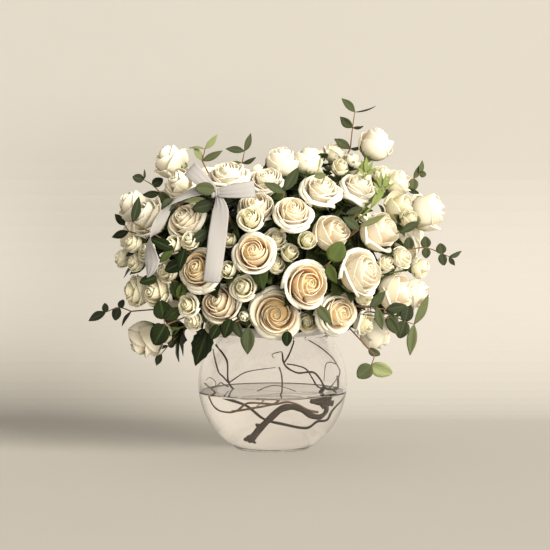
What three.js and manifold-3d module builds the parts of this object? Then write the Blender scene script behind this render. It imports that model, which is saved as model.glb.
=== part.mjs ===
// A floral table centrepiece: a round glass bowl, part filled with water and curly willow, that carries a low
// dome of white roses, spray roses, eucalyptus and rose leaves with a satin bow. The flowers stand in wet foam
// in a shallow dish that rests on the bowl's rim, so their stems never reach the water.
//
// Millimetres, +Z up. The origin is the middle of the bowl's flat foot, and -Y is the front.
import * as THREE from "three";
import { mergeVertices } from "three/addons/utils/BufferGeometryUtils.js";
import Module from "manifold-3d";

const wasm = await Module();
wasm.setup();

// ---- Driving dimensions --------------------------------------------------------------------------------

const BOWL = { radius: 100, centreZ: 88, wall: 3.5, floor: 6, rimZ: 157, lip: 1.75 };
const WATER_LEVEL = 77;
const GAP = 0.3; // between pieces that touch
const DISH = { radius: 76, wall: 2, height: 11, spigotRadius: 66.5, spigotDepth: 3 };
const FOAM = { radius: 66, topZ: 258, shoulder: 44 };

// The dome that the blooms' centres lie on: a rounded box, fuller at the shoulders than an ellipsoid.
const DOME = { across: 214, deep: 158, tall: 128, centreZ: 268, fullness: 2.5 };
const STEM_TARGET = new THREE.Vector3(0, 0, 200); // inside the foam, where every stem points
const STEM_END = 46; // how far from that point a stem stops
const SIGHT_SLOPE = 0.08; // seen from a little above, so what stands nearer sits higher than it looks

const ROSE_STEM = 2.2;
const SPRAY_STEM = 1.4;
const LEAF_STEM = 1.1;
const PETAL_GAP = 0.8;
const SETTLE_PASSES = 400;
const FORK = 82; // where the first stem of a spray parts from the others, from that same point
const FORK_STEP = 4;
const FRONT = new THREE.Vector3(0, -1, 0);

// Large roses, as seen from the front: across, up, radius, how open, how far each stands out of the dome, and
// what is added to its facing direction (across, towards the back, up).
const ROSES = {
  rose_01: [6, 184, 34, 1.0, 12, [0, -0.1, 0.1]],
  rose_02: [-22, 260, 28.5, 0.8, 8, [0, 0, 0.05]],
  rose_03: [50, 229, 31, 0.7, 6, [0.15, 0, 0]],
  rose_04: [87, 188, 30, 0.95, 4, [0.05, 0, 0]],
  rose_05: [-68, 201, 28, 0.65, 2, [0, 0, 0.3]],
  rose_06: [-89, 247, 29, 0.9, -2, [0, 0, 0.1]],
  rose_07: [25, 307, 27, 0.9, 6, [0, 0, 0.1]],
  rose_08: [76, 288, 28, 0.45, 2, [0.35, 0, 0.1]],
  rose_09: [142, 283, 30, 0.55, 4, [0.3, 0, 0.1]],
  rose_10: [120, 242, 32, 0.65, 8, [0.35, 0, 0.1]],
  rose_11: [163, 211, 29, 0.55, 0, [0.3, 0, 0]],
  rose_12: [190, 208, 24, 0.5, -30, [0.1, 0, -0.2]],
  rose_13: [207, 318, 30, 0.45, 0, [0.1, 0, 0]],
  rose_14: [134, 408, 26, 0.3, 10, [0.1, 0, 0.4]],
  rose_15: [-54, 362, 28, 1.0, -4, [0, 0, 0.3]],
  rose_16: [-135, 382, 26, 0.4, 0, [-0.3, 0, 0.1]],
  rose_17: [-118, 346, 25, 0.5, 6, [-0.2, 0, -0.2]],
  rose_18: [-186, 326, 23, 0.4, -30, [-0.2, 0.2, 0]],
  rose_19: [-156, 308, 28, 0.6, 0, [-0.2, 0, 0]],
  rose_20: [-118, 302, 26, 0.7, -2, [0, 0, 0]],
  rose_21: [-20, 322, 25, 0.7, -8, [0, 0, 0.1]],
  rose_22: [63, 341, 27, 1.0, 2, [0, 0, 0.3]],
  rose_23: [108, 346, 26, 0.9, -2, [0, 0, 0.4]],
  rose_24: [-171, 147, 28, 0.4, 40, [0.1, 0, -0.5]],
  rose_25: [139, 153, 25, 0.4, 20, [0.1, 0, -0.5]],
};

// The topmost roses behind the crest, in the same terms.
const TOP_ROSES = [
  [12, 384, 24, 0.3, -20, [0, 0.1, 0.4]],
  [47, 386, 23, 0.3, -50, [0, 0.2, 0.4]],
  [-14, 356, 23, 0.9, -14, [0, 0, 0.3]],
];

// Sprays of small roses and buds, seen the same way: across, up, radius, how open, how far each stands out.
const SPRAYS = {
  spray_left: [
    [-198, 256, 12, 0.4, 0],
    [-180, 250, 12, 0.5, 12],
    [-183, 275, 12, 0.4, 10],
    [-164, 264, 12, 0.6, 14],
    [-179, 212, 20, 0.5, 0],
    [-151, 213, 21, 0.5, 2],
  ],
  spray_left_front: [
    [-127, 277, 12, 0.3, 10],
    [-105, 274, 12, 0.4, 8],
    [-138, 238, 15, 0.6, 4],
  ],
  spray_low_left: [
    [-111, 195, 14, 0.9, 12],
    [-105, 174, 13, 0.7, 10],
    [-74, 167, 13, 0.5, 8],
    [-144, 156, 13, 0.4, 70],
  ],
  spray_middle: [
    [-54, 246, 11, 0.1, 14],
    [-40, 217, 16, 0.8, 8],
    [-37, 181, 7, 0.0, 14],
    [0, 250, 12, 0.4, 4],
    [21, 262, 12, 0.3, 12],
  ],
  spray_upper_middle: [
    [44, 282, 12, 0.3, 14],
    [6, 284, 14, 0.7, 4],
    [-28, 304, 16, 0.8, 24],
    [-57, 279, 10, 0.3, 2],
  ],
  spray_low_right: [
    [48, 174, 14, 0.6, 8],
    [114, 203, 13, 0.5, 8],
    [121, 170, 16, 0.8, 10],
  ],
  spray_right: [
    [145, 252, 10, 0.4, 10],
    [168, 257, 14, 0.4, 12],
    [195, 243, 14, 0.3, 8],
  ],
  spray_top_right: [
    [86, 396, 16, 0.6, 0],
    [109, 390, 11, 0.1, 8],
    [89, 376, 11, 0.1, 16],
    [64, 394, 7, 0.0, 6],
  ],
  spray_upper_right: [
    [164, 357, 19, 0.5, 4],
    [168, 322, 20, 0.3, 8],
    [144, 366, 12, 0.1, 14],
    [175, 308, 12, 0.2, 26],
  ],
};

// The back, which no one place sees: columns of three roses up the dome.
const REAR_ROSES = {
  angles: [14, 52, 90, 128, 166],
  latitudes: [-33, 8, 50],
  stagger: 9,
  radius: 36,
  openness: [0.6, 0.8, 0.7],
};

// Leafy stems, as seen from the front, at a depth of their own. Each leaf is [point of the stem it grows from,
// heading in degrees, length, width, turn of its blade away from the viewer].
const SPRIGS = {
  eucalyptus_top_right: {
    finish: "eucalyptus",
    depth: -4,
    stems: [[[104, 403], [107, 431], [110, 452]]],
    leaves: [
      [
        [2, 133, 25, 11, 20], [2, 8, 29, 7, 70], [1, 140, 22, 13, -20], [1, 5, 15, 9, 60], [0, 148, 25, 12, 10],
        [0, 2, 16, 8, 50],
      ],
    ],
  },
  eucalyptus_top: {
    finish: "eucalyptus",
    depth: -55,
    stems: [
      [[-93, 385], [-89, 401]],
      [[-40, 382], [-37, 398]],
    ],
    leaves: [
      [[1, 48, 25, 9, 20], [1, 172, 22, 6, 60], [0, 25, 30, 10, 10], [0, 120, 22, 10, 30]],
      [[1, 68, 25, 10, 30], [1, 172, 25, 10, 20], [0, 195, 22, 11, 10], [0, 20, 20, 10, 50]],
    ],
  },
  eucalyptus_left: {
    finish: "eucalyptus",
    depth: -18,
    stems: [
      [[-150, 344], [-160, 354], [-172, 361]],
      [[-192, 292], [-197, 300]],
    ],
    leaves: [
      [
        [2, 165, 15, 12, 10], [2, 80, 14, 6, 60], [1, 30, 16, 13, 0], [0, 190, 24, 12, -30],
        [0, 310, 26, 16, 20],
      ],
      [[1, 130, 20, 12, 20], [0, 200, 24, 11, 0]],
    ],
  },
  eucalyptus_low_left: {
    finish: "eucalyptus",
    depth: -40,
    stems: [
      [[-188, 185], [-204, 190], [-222, 184]],
      [[-128, 150], [-139, 139], [-148, 128]],
    ],
    leaves: [
      [[2, 205, 26, 12, 20], [2, 95, 12, 9, 0], [1, 250, 18, 15, 30], [1, 60, 12, 9, 0], [0, 235, 24, 9, 60]],
      [[2, 245, 17, 10, 20], [1, 20, 10, 9, 0], [1, 200, 12, 6, 50]],
    ],
  },
  eucalyptus_right: {
    finish: "eucalyptus",
    depth: -25,
    stems: [
      [[182, 268], [205, 270], [226, 262], [236, 258]],
      [[180, 350], [188, 362], [196, 369]],
    ],
    leaves: [
      [
        [3, 20, 18, 9, 40], [3, 300, 14, 8, 30], [2, 100, 14, 14, 0], [2, 280, 16, 12, 10],
        [1, 95, 15, 14, 0], [1, 270, 14, 12, 0], [0, 90, 16, 14, 0],
      ],
      [
        [2, 75, 18, 8, 30], [2, 350, 9, 9, 0], [1, 60, 22, 9, 20], [1, 265, 16, 14, 0],
        [0, 100, 22, 8, 20], [0, 330, 18, 9, 40],
      ],
    ],
  },
  eucalyptus_low_right: {
    finish: "eucalyptus",
    depth: -60,
    stems: [
      [[158, 181], [176, 172], [188, 168]],
      [[128, 135], [135, 126], [131, 113]],
    ],
    leaves: [
      [
        [2, 62, 44, 14, 30], [2, 262, 42, 14, 10], [1, 250, 24, 20, 10], [1, 78, 24, 18, 0],
        [0, 275, 20, 18, 10], [0, 40, 26, 19, 0],
      ],
      [[2, 222, 24, 21, 0], [2, 338, 30, 21, 10], [0, 330, 17, 12, 20]],
    ],
  },
  leaves_left: {
    finish: "leaf",
    depth: -136,
    stems: [[[-124, 204]], [[-140, 168], [-142, 176]]],
    leaves: [
      [[0, 100, 27, 16, 10], [0, 60, 26, 15, 20]],
      [[1, 100, 25, 25, 10], [1, 30, 30, 17, 20], [0, 240, 30, 26, 10]],
    ],
  },
  leaves_rim: {
    finish: "leaf",
    depth: -97,
    stems: [[[-86, 164]], [[-30, 166]]],
    leaves: [[[0, 256, 52, 32, 10]], [[0, 262, 38, 19, 10]]],
  },
  leaves_right: {
    finish: "leaf",
    depth: -184,
    stems: [[[72, 248], [76, 252]]],
    leaves: [[[1, 60, 28, 26, 10], [0, 290, 28, 16, 30]]],
  },
};

const RIBBON = {
  width: 24,
  thickness: 0.9,
  clearance: 1.4, // from the blooms under it
  knot: [-73, 340],
  pick: 1.8,
  tailSteps: 7,
  rightLoop: [2, 50, 10], // heading, length, depth
  leftLoop: [146, 42, 9],
  frontTail: { points: [[-73, 338], [-66, 318], [-72, 284], [-77, 249], [-80, 224]], twist: 0, lift: 0 },
  leftTail: {
    points: [[-76, 341], [-98, 340], [-134, 320], [-148, 300], [-158, 272], [-159, 234]],
    twist: 48,
    lift: 8,
  },
};

// Curly willow: [across, depth, up] as seen from the front through glass and water, with the thickness it
// starts and ends with.
const WILLOW = {
  willow_limb: [
    {
      steps: 12,
      radii: [4, 2.6],
      points: [
        [-33, -10, 11], [-27, -12, 15], [-17, -14, 27], [-4, -14, 40], [11, -12, 53], [25, -10, 56],
        [38, -10, 53], [51, -12, 45], [63, -12, 43], [71, -12, 50], [73, -12, 62], [70, -12, 84],
      ],
    },
    {
      steps: 14,
      radii: [1.2, 1.5],
      points: [
        [13, -14, 128], [15, -16, 116], [21, -18, 108], [34, -20, 102], [47, -20, 103], [56, -18, 102],
        [64, -15, 93], [70, -12, 82], [76, -12, 80], [86, -10, 80], [88, -8, 87], [87, -8, 98],
      ],
    },
    { steps: 5, radii: [1.1, 1.3], points: [[28, -10, 149], [28, -10, 142], [22, -12, 126], [16, -15, 116]] },
    {
      steps: 6,
      radii: [1.1, 1.3],
      points: [[43, -6, 149], [64, -6, 136], [79, -8, 123], [87, -10, 111], [90, -10, 103], [87, -8, 90]],
    },
    {
      steps: 5,
      radii: [0.9, 1.1],
      points: [[19, -17, 114], [32, -24, 112], [45, -24, 107], [53, -20, 95], [60, -14, 84], [69, -12, 80]],
    },
  ],
  willow_twig_left: [
    {
      steps: 15,
      radii: [1.3, 1.7],
      points: [
        [-77, 8, 140], [-62, 20, 118], [-60, 24, 90], [-49, 28, 76], [-36, 30, 56], [-12, 30, 38],
        [14, 28, 31], [45, 26, 26], [60, 24, 35], [73, 20, 38], [83, 16, 54], [87, 14, 82],
      ],
    },
    {
      steps: 5,
      radii: [0.9, 1.2],
      points: [[-80, 2, 134], [-78, 6, 122], [-73, 12, 103], [-67, 18, 96], [-60, 24, 88]],
    },
    {
      steps: 5,
      radii: [1.2, 0.9],
      points: [[-60, 24, 87], [-51, 26, 93], [-38, 30, 101], [-20, 32, 105], [4, 32, 108]],
    },
  ],
  willow_twig_low: [
    {
      steps: 13,
      radii: [1.1, 1.4],
      points: [
        [-91, -10, 88], [-86, -18, 72], [-79, -25, 59], [-70, -32, 52], [-56, -38, 50], [-46, -42, 53],
        [-36, -44, 61], [-27, -46, 63], [-10, -46, 62], [3, -46, 61], [19, -46, 64], [32, -44, 61],
        [48, -42, 53], [61, -38, 50],
      ],
    },
    {
      steps: 8,
      radii: [1.4, 1],
      points: [
        [-54, -38, 51], [-36, -44, 54], [-20, -48, 57], [-4, -48, 60], [6, -48, 64], [12, -46, 76],
        [13, -44, 87], [12, -42, 100], [9, -38, 110],
      ],
    },
  ],
};

// ---- Solids --------------------------------------------------------------------------------------------

// A closed mesh from points and triangles, as a solid whose faces point out.
function solidOf(points, faces) {
  const at = (i) => points[i];
  const volume = faces.reduce((sum, [a, b, c]) => sum + at(a).dot(at(b).clone().cross(at(c))), 0);
  const outward = volume < 0 ? faces.map(([a, b, c]) => [a, c, b]) : faces;
  return new wasm.Manifold(
    new wasm.Mesh({
      numProp: 3,
      vertProperties: new Float32Array(points.flatMap((p) => p.toArray())),
      triVerts: new Uint32Array(outward.flat()),
    }),
  );
}

// The same from a three.js geometry.
function solidFrom(geometry) {
  const bare = geometry.clone();
  bare.deleteAttribute("normal");
  bare.deleteAttribute("uv");
  const merged = mergeVertices(bare, 1e-4);
  const position = merged.getAttribute("position");
  const corner = (_, i) => new THREE.Vector3().fromBufferAttribute(position, i);
  const points = Array.from({ length: position.count }, corner);
  const index = Array.from(merged.index.array);
  const faces = [];
  for (let i = 0; i < index.length; i += 3) {
    const face = index.slice(i, i + 3);
    if (new Set(face).size === 3) faces.push(face);
  }
  return solidOf(points, faces);
}

// Closed rings of equal length joined into one skin; a ring of one point is a pole.
function skin(rings) {
  const points = rings.flat();
  const starts = rings.map((_, i) => rings.slice(0, i).reduce((n, r) => n + r.length, 0));
  const faces = [];
  for (let r = 0; r + 1 < rings.length; r++) {
    const [here, next] = [rings[r], rings[r + 1]];
    const n = Math.max(here.length, next.length);
    for (let k = 0; k < n; k++) {
      const l = (k + 1) % n;
      const [a, b, c, d] = [starts[r] + k, starts[r] + l, starts[r + 1] + k, starts[r + 1] + l];
      if (here.length === 1) faces.push([starts[r], c, d]);
      else if (next.length === 1) faces.push([a, starts[r + 1], b]);
      else faces.push([a, c, b], [b, c, d]);
    }
  }
  return solidOf(points, faces);
}

const union = (solids) => wasm.Manifold.union(solids);

function lathe(profile, segments) {
  const turned = new THREE.LatheGeometry(
    profile.map(([r, z]) => new THREE.Vector2(r, z)),
    segments,
  ).rotateX(Math.PI / 2);
  return solidFrom(turned);
}

// Points of a sphere's profile between two heights, in the plane of radius and height.
function spherePoints(radius, centreZ, fromZ, toZ, count) {
  const angle = (z) => Math.asin((z - centreZ) / radius);
  return Array.from({ length: count }, (_, i) => {
    const a = THREE.MathUtils.lerp(angle(fromZ), angle(toZ), i / (count - 1));
    return [radius * Math.cos(a), centreZ + radius * Math.sin(a)];
  });
}

// The direction of a line of points at one of them.
function alongAt(points, i) {
  return points[Math.min(i + 1, points.length - 1)].clone().sub(points[Math.max(i - 1, 0)]).normalize();
}

// A round tube along points, with a radius at each, closed at both ends. grow widens and lengthens it for a
// hole.
function tube(points, radii, sides, grow = 0) {
  const rings = [];
  let across = null;
  points.forEach((p, i) => {
    const along = alongAt(points, i);
    if (!across) across = new THREE.Vector3(0.3, 0.5, 0.81).cross(along).normalize();
    across = across.clone().addScaledVector(along, -across.dot(along)).normalize();
    const up = along.clone().cross(across);
    const end = i === 0 ? -1 : i === points.length - 1 ? 1 : 0;
    const centre = p.clone().addScaledVector(along, end * grow);
    const ring = Array.from({ length: sides }, (_, k) => {
      const a = (2 * Math.PI * k) / sides;
      return centre
        .clone()
        .addScaledVector(across, (radii[i] + grow) * Math.cos(a))
        .addScaledVector(up, (radii[i] + grow) * Math.sin(a));
    });
    if (end === -1) rings.push([centre]);
    rings.push(ring);
    if (end === 1) rings.push([centre]);
  });
  return skin(rings);
}

// A smooth line through hand-placed points, as evenly spaced points.
function smooth(points, steps) {
  return new THREE.CatmullRomCurve3(points, false, "centripetal").getSpacedPoints(steps);
}

// ---- Blooms --------------------------------------------------------------------------------------------

// Rim and hollow of each whorl of petals, from outside in, as shares of the bloom's radius: [radius, height].
// The bud's and the open bloom's shapes, between which a bloom is mixed by how open it is.
const WHORLS = {
  full: {
    foot: [[0.4, -0.84], [0.44, -0.74]],
    belly: [[0.92, -0.12], [0.93, -0.22]],
    rims: [[[0.8, 0.5], [1.02, 0.1]], [[0.58, 0.72], [0.76, 0.42]], [[0.32, 0.84], [0.44, 0.58]]],
    hollows: [[[0.66, 0.28], [0.74, 0.0]], [[0.42, 0.56], [0.48, 0.26]]],
    eye: [0.66, 0.36],
  },
  cup: {
    foot: [[0.4, -0.84], [0.44, -0.74]],
    belly: [[0.92, -0.1], [0.93, -0.2]],
    rims: [[[0.82, 0.48], [1.0, 0.14]], [[0.48, 0.8], [0.66, 0.54]]],
    hollows: [[[0.62, 0.34], [0.7, 0.1]]],
    eye: [0.66, 0.42],
  },
  small: {
    foot: [[0.6, -0.66], [0.66, -0.56]],
    belly: null,
    rims: [[[0.86, 0.46], [1.0, 0.2]], [[0.5, 0.72], [0.6, 0.56]]],
    hollows: [[[0.56, 0.32], [0.64, 0.1]]],
    eye: [0.6, 0.34],
  },
  bud: { foot: [[0.5, -0.7]], belly: [[0.88, 0.0]], rims: [[[0.5, 0.76]]], hollows: [], eye: [0.94] },
};
// How many petals stand round a whorl, how many columns of points each has, and which whorls.
const KINDS = {
  hero: { lobes: 5, perLobe: 3, whorls: WHORLS.full },
  large: { lobes: 4, perLobe: 3, whorls: WHORLS.full },
  cup: { lobes: 5, perLobe: 2, whorls: WHORLS.cup },
  rear: { lobes: 4, perLobe: 2, whorls: WHORLS.cup },
  small: { lobes: 3, perLobe: 2, whorls: WHORLS.small },
  bud: { lobes: 3, perLobe: 2, whorls: WHORLS.bud },
};

// A bloom's head, about the origin and facing +Z, inside a sphere of its radius: whorls of overlapping petals
// drawn as one skin that runs up the outside, over each whorl's rim, down into the hollow behind it and in to
// the eye.
function head(radius, openness, kind, turn) {
  const { lobes, perLobe, whorls } = KINDS[kind];
  const columns = lobes * perLobe;
  const at = ([bud, open = bud]) => bud.map((value, i) => THREE.MathUtils.lerp(value, open[i], openness));
  const rows = [{ shape: at(whorls.foot), wave: 0, whorl: 0 }];
  if (whorls.belly) rows.push({ shape: at(whorls.belly), wave: 0.3, whorl: 0 });
  whorls.rims.forEach((rim, whorl) => {
    rows.push({ shape: at(rim), wave: 1, whorl });
    if (whorls.hollows[whorl]) rows.push({ shape: at(whorls.hollows[whorl]), wave: 0.2, whorl });
  });
  const rings = rows.map(({ shape: [out, up], wave, whorl }) =>
    Array.from({ length: columns }, (_, k) => {
      // Each petal lies over the next one's edge: its first column stands out and high, its last tucks in.
      const lap = 1 + wave * (0.05 - (0.13 * (k % perLobe)) / perLobe);
      const lift = wave * (perLobe === 3 ? [0.02, 0.05, -0.09] : [0.05, -0.07])[k % perLobe];
      const angle = turn + (2 * Math.PI * (k + whorl * perLobe * 0.5)) / columns;
      const p = new THREE.Vector3(out * lap * Math.cos(angle), out * lap * Math.sin(angle), up + lift);
      return p.multiplyScalar(radius / Math.max(1, p.length()));
    }),
  );
  const [bud, open = bud] = whorls.eye;
  const eye = new THREE.Vector3(0, 0, radius * THREE.MathUtils.lerp(bud, open, openness));
  return skin([[new THREE.Vector3(0, 0, -0.96 * radius)], ...rings, [eye]]);
}

// A solid about the origin and facing +Z, carried to a place and turned to a direction.
function facing(solid, place, direction) {
  const turn = new THREE.Quaternion().setFromUnitVectors(new THREE.Vector3(0, 0, 1), direction);
  return solid.transform(new THREE.Matrix4().compose(place, turn, new THREE.Vector3(1, 1, 1)).elements);
}

// ---- Where the blooms stand ----------------------------------------------------------------------------

// A point on the dome's front, or in front of it by proud, that is seen at this place from the front.
function onDome(across, up, proud = 0) {
  const { across: a, deep, tall, centreZ, fullness: p } = DOME;
  const left = 1 - Math.abs(across / a) ** p - Math.abs((up - centreZ) / tall) ** p;
  const y = -deep * Math.max(0, left) ** (1 / p) - proud;
  return new THREE.Vector3(across, y, up - SIGHT_SLOPE * y);
}

// A point on the dome at an angle round the vertical (90 is the back) and a latitude.
function roundDome(angle, latitude) {
  const [turn, lift] = [THREE.MathUtils.degToRad(angle), THREE.MathUtils.degToRad(latitude)];
  return new THREE.Vector3(
    DOME.across * 0.88 * Math.cos(lift) * Math.cos(turn),
    DOME.deep * Math.cos(lift) * Math.sin(turn),
    DOME.centreZ + DOME.tall * 0.84 * Math.sin(lift),
  );
}

const blooms = [];
function addBloom(node, place, radius, openness, kind, lean = [0, 0, 0]) {
  const stem = kind === "small" || kind === "bud" ? SPRAY_STEM : ROSE_STEM;
  const facingAway = new THREE.Vector3(...lean);
  blooms.push({ node, place, radius, openness, kind, stem, lean: facingAway, root: STEM_TARGET });
}

function addRose(node, [across, up, radius, openness, proud, lean]) {
  const kind = openness > 0.92 ? "hero" : openness >= 0.6 ? "large" : "cup";
  addBloom(node, onDome(across, up, proud), radius, openness, kind, lean);
}

for (const [node, row] of Object.entries(ROSES)) addRose(node, row);
for (const row of TOP_ROSES) addRose("roses_top", row);
for (const [node, row] of Object.entries(SPRAYS))
  for (const [across, up, radius, openness, proud] of row)
    addBloom(node, onDome(across, up, proud), radius, openness, openness < 0.35 ? "bud" : "small");
REAR_ROSES.angles.forEach((angle, column) => {
  REAR_ROSES.latitudes.forEach((latitude, row) => {
    const place = roundDome(angle + REAR_ROSES.stagger * (row - 1), latitude);
    addBloom(`rear_roses_${column + 1}`, place, REAR_ROSES.radius - row, REAR_ROSES.openness[row], "rear");
  });
});

// The blooms of one node part one after another from a main stem, from just outside the foam.
const byNode = Map.groupBy(blooms, (b) => b.node);
for (const group of byNode.values()) {
  if (group.length === 1) continue;
  const mean = new THREE.Vector3();
  for (const b of group) mean.add(b.place.clone().sub(STEM_TARGET).normalize());
  mean.normalize();
  group.forEach((b, i) => (b.root = STEM_TARGET.clone().addScaledVector(mean, FORK + FORK_STEP * i)));
}

// The straight stalks of the leaves and the bow have no head: the blooms make room for them.
const seen = (across, y, up) => new THREE.Vector3(across, y, up - SIGHT_SLOPE * y);
const stalk = (place) => ({ root: STEM_TARGET, place, stem: LEAF_STEM, radius: 0 });
for (const sprig of Object.values(SPRIGS))
  sprig.lines = sprig.stems.map(([[across, up]]) => stalk(seen(across, sprig.depth, up)));
const stalks = Object.values(SPRIGS).flatMap((sprig) => sprig.lines);
stalks.push(stalk(onDome(...RIBBON.knot, 20)));

// The blooms crowd one another: each pass moves them off their neighbours, off the stems between them, and off
// the bowl and the foam, at first mostly in depth so that they stay where they are seen.
const OBSTACLES = [
  { place: new THREE.Vector3(0, 0, BOWL.centreZ), radius: BOWL.radius + 2 },
  { place: new THREE.Vector3(0, 0, 192), radius: 84 },
];
const EASY = new THREE.Vector3(0.3, 1, 0.3);
const EVEN = new THREE.Vector3(1, 1, 1);

function settle() {
  const all = [...blooms, ...stalks];
  for (let pass = 0; pass < SETTLE_PASSES; pass++) {
    const ease = pass < SETTLE_PASSES * 0.6 ? EASY : EVEN;
    const moves = all.map(() => new THREE.Vector3());
    blooms.forEach((a, i) => {
      all.forEach((b, j) => {
        if (i === j) return;
        const apart = a.place.clone().sub(b.place);
        const short = a.radius + b.radius + PETAL_GAP - apart.length();
        if (b.radius > 0 && short > 0) moves[i].addScaledVector(apart.normalize(), short / 2);
        const line = b.place.clone().sub(b.root);
        const t = THREE.MathUtils.clamp(a.place.clone().sub(b.root).dot(line) / line.lengthSq(), 0, 1);
        const off = a.place.clone().sub(b.root).addScaledVector(line, -t);
        const close = a.radius + b.stem + PETAL_GAP - off.length();
        if (close <= 0) return;
        off.normalize();
        moves[i].addScaledVector(off, close / 2);
        if (b.radius > 0) moves[j].addScaledVector(off, (-t * close) / 2);
      });
      for (const o of OBSTACLES) {
        const apart = a.place.clone().sub(o.place);
        const short = a.radius + o.radius - apart.length();
        if (short > 0) moves[i].addScaledVector(apart.normalize(), short);
      }
    });
    blooms.forEach((b, i) => b.place.addScaledVector(moves[i].multiply(ease), 0.5));
  }
}
settle();

// ---- The flowers' solids -------------------------------------------------------------------------------

const parts = new Map(); // node name to solid and finish
const holes = []; // what the foam is cut by

// A straight stem into the foam: its solid is kept, and the foam gets a hole for it.
function planted(points, radii, sides) {
  holes.push(tube(points.slice(-2), radii.slice(-2), sides, GAP + 0.2));
  return tube(points, radii, sides);
}

// Where a line from outside through the foam's middle ends.
function stemEnd(place) {
  return STEM_TARGET.clone().addScaledVector(place.clone().sub(STEM_TARGET).normalize(), STEM_END);
}

// A bloom with its stem, in to the foam or to the spray's main stem.
function bloomSolids(b) {
  const out = b.place.clone().sub(b.root).normalize();
  const direction = out.clone().add(b.lean).normalize();
  const foot = b.place.clone().addScaledVector(direction, -0.8 * b.radius);
  const top = facing(head(b.radius, b.openness, b.kind, b.place.x), b.place, direction);
  if (b.root !== STEM_TARGET) return [top, tube([foot, b.root], [b.stem, b.stem], 4)];
  const inward = b.place.clone().addScaledVector(out, -1.15 * b.radius);
  return [top, planted([foot, inward, stemEnd(b.place)], [b.stem, b.stem, b.stem], 4)];
}

for (const [node, group] of byNode) {
  const solids = group.flatMap(bloomSolids);
  if (group.length > 1) {
    const width = group[0].stem * 1.3;
    const last = group.at(-1).root;
    const past = last.clone().addScaledVector(last.clone().sub(STEM_TARGET).normalize(), width);
    solids.push(planted([past, stemEnd(last)], [width, width], 4));
  }
  parts.set(node, { solid: union(solids), finish: "rose" });
}

// ---- Leaves --------------------------------------------------------------------------------------------

// Half-widths along a leaf, as [share of the length, share of the half-width].
const ROUND_LEAF = [[0.3, 0.94], [0.76, 0.86]];
const LONG_LEAF = [[0.3, 0.9], [0.68, 0.8]];
const LEAF_THICKNESS = 1.4;

// A blade along a line of points: at each a ring of two edges, a raised rib and its underside.
function blade(line, across, width, outline) {
  const curve = new THREE.CatmullRomCurve3(line);
  const rings = outline.map(([t, w]) => {
    const p = curve.getPoint(t);
    const up = curve.getTangent(t).cross(across).normalize();
    const raised = p.clone().addScaledVector(up, 0.1 * w * width);
    const edge = (side) => raised.clone().addScaledVector(across, (side * w * width) / 2);
    const rib = (side) => p.clone().addScaledVector(up, (side * LEAF_THICKNESS) / 2);
    return [edge(-1), rib(1), edge(1), rib(-1)];
  });
  return skin([[line[0]], ...rings, [line.at(-1)]]);
}

// A direction seen from the front: 0 degrees points across to the right, 90 up.
function heading(degrees) {
  const a = THREE.MathUtils.degToRad(degrees);
  return new THREE.Vector3(Math.cos(a), 0, Math.sin(a));
}

// A leaf from a point on its stem; turn rolls the blade about its own length, away from facing the front.
function leafAt(stemPoint, degrees, length, width, turn) {
  const along = heading(degrees);
  const across = along.clone().cross(FRONT).applyAxisAngle(along, THREE.MathUtils.degToRad(turn));
  const droop = new THREE.Vector3(0, 0.12 * length, -0.05 * length);
  const at = (t) => stemPoint.clone().addScaledVector(along, t * length).addScaledVector(droop, t * t);
  const outline = width > 0.6 * length ? ROUND_LEAF : LONG_LEAF;
  return blade([at(0), at(0.5), at(1)], across, width, outline);
}

for (const [node, sprig] of Object.entries(SPRIGS)) {
  const solids = [];
  sprig.stems.forEach((stem, s) => {
    const points = stem.map(([across, up]) => seen(across, sprig.depth, up));
    if (points.length > 1) solids.push(tube(points, points.map(() => LEAF_STEM), 4));
    const mainStem = sprig.lines[0].place.clone().sub(STEM_TARGET).normalize();
    const fork = STEM_TARGET.clone().addScaledVector(mainStem, FORK);
    if (s === 0) solids.push(planted([points[0], stemEnd(points[0])], [LEAF_STEM, LEAF_STEM], 4));
    else solids.push(tube([points[0], fork], [LEAF_STEM, LEAF_STEM], 4));
    for (const [k, ...leaf] of sprig.leaves[s]) {
      const back = points[k - 1] ?? STEM_TARGET;
      const node = points[k].clone().addScaledVector(back.clone().sub(points[k]).normalize(), 1.6);
      solids.push(leafAt(node, ...leaf));
    }
  });
  parts.set(node, { solid: union(solids), finish: sprig.finish });
}

// ---- The bow -------------------------------------------------------------------------------------------

// A band of satin along points, each with the direction of its width, closed at both ends.
function band(points, widths, width) {
  const rings = points.map((p, i) => {
    const along = alongAt(points, i);
    const across = widths[i].clone().addScaledVector(along, -along.dot(widths[i])).normalize();
    const out = along.clone().cross(across);
    const corner = (a, o) =>
      p.clone().addScaledVector(across, (a * width) / 2).addScaledVector(out, (o * RIBBON.thickness) / 2);
    return [corner(-1, -1), corner(1, -1), corner(1, 1), corner(-1, 1)];
  });
  const first = rings[0].reduce((sum, p) => sum.add(p), new THREE.Vector3()).divideScalar(4);
  const last = rings.at(-1).reduce((sum, p) => sum.add(p), new THREE.Vector3()).divideScalar(4);
  return skin([[first], ...rings, [last]]);
}

// How far forward something this wide lies where it crosses the blooms, as seen from the front.
function overBlooms(across, up, width) {
  const fronts = blooms.map((b) => {
    const beside = Math.hypot(b.place.x - across, b.place.z + SIGHT_SLOPE * b.place.y - up) - width / 2;
    const reach = b.radius + RIBBON.clearance;
    const off = Math.max(0, beside);
    return b.place.y - (off < reach ? Math.sqrt(reach ** 2 - off ** 2) : -reach);
  });
  return Math.min(...fronts);
}

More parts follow.
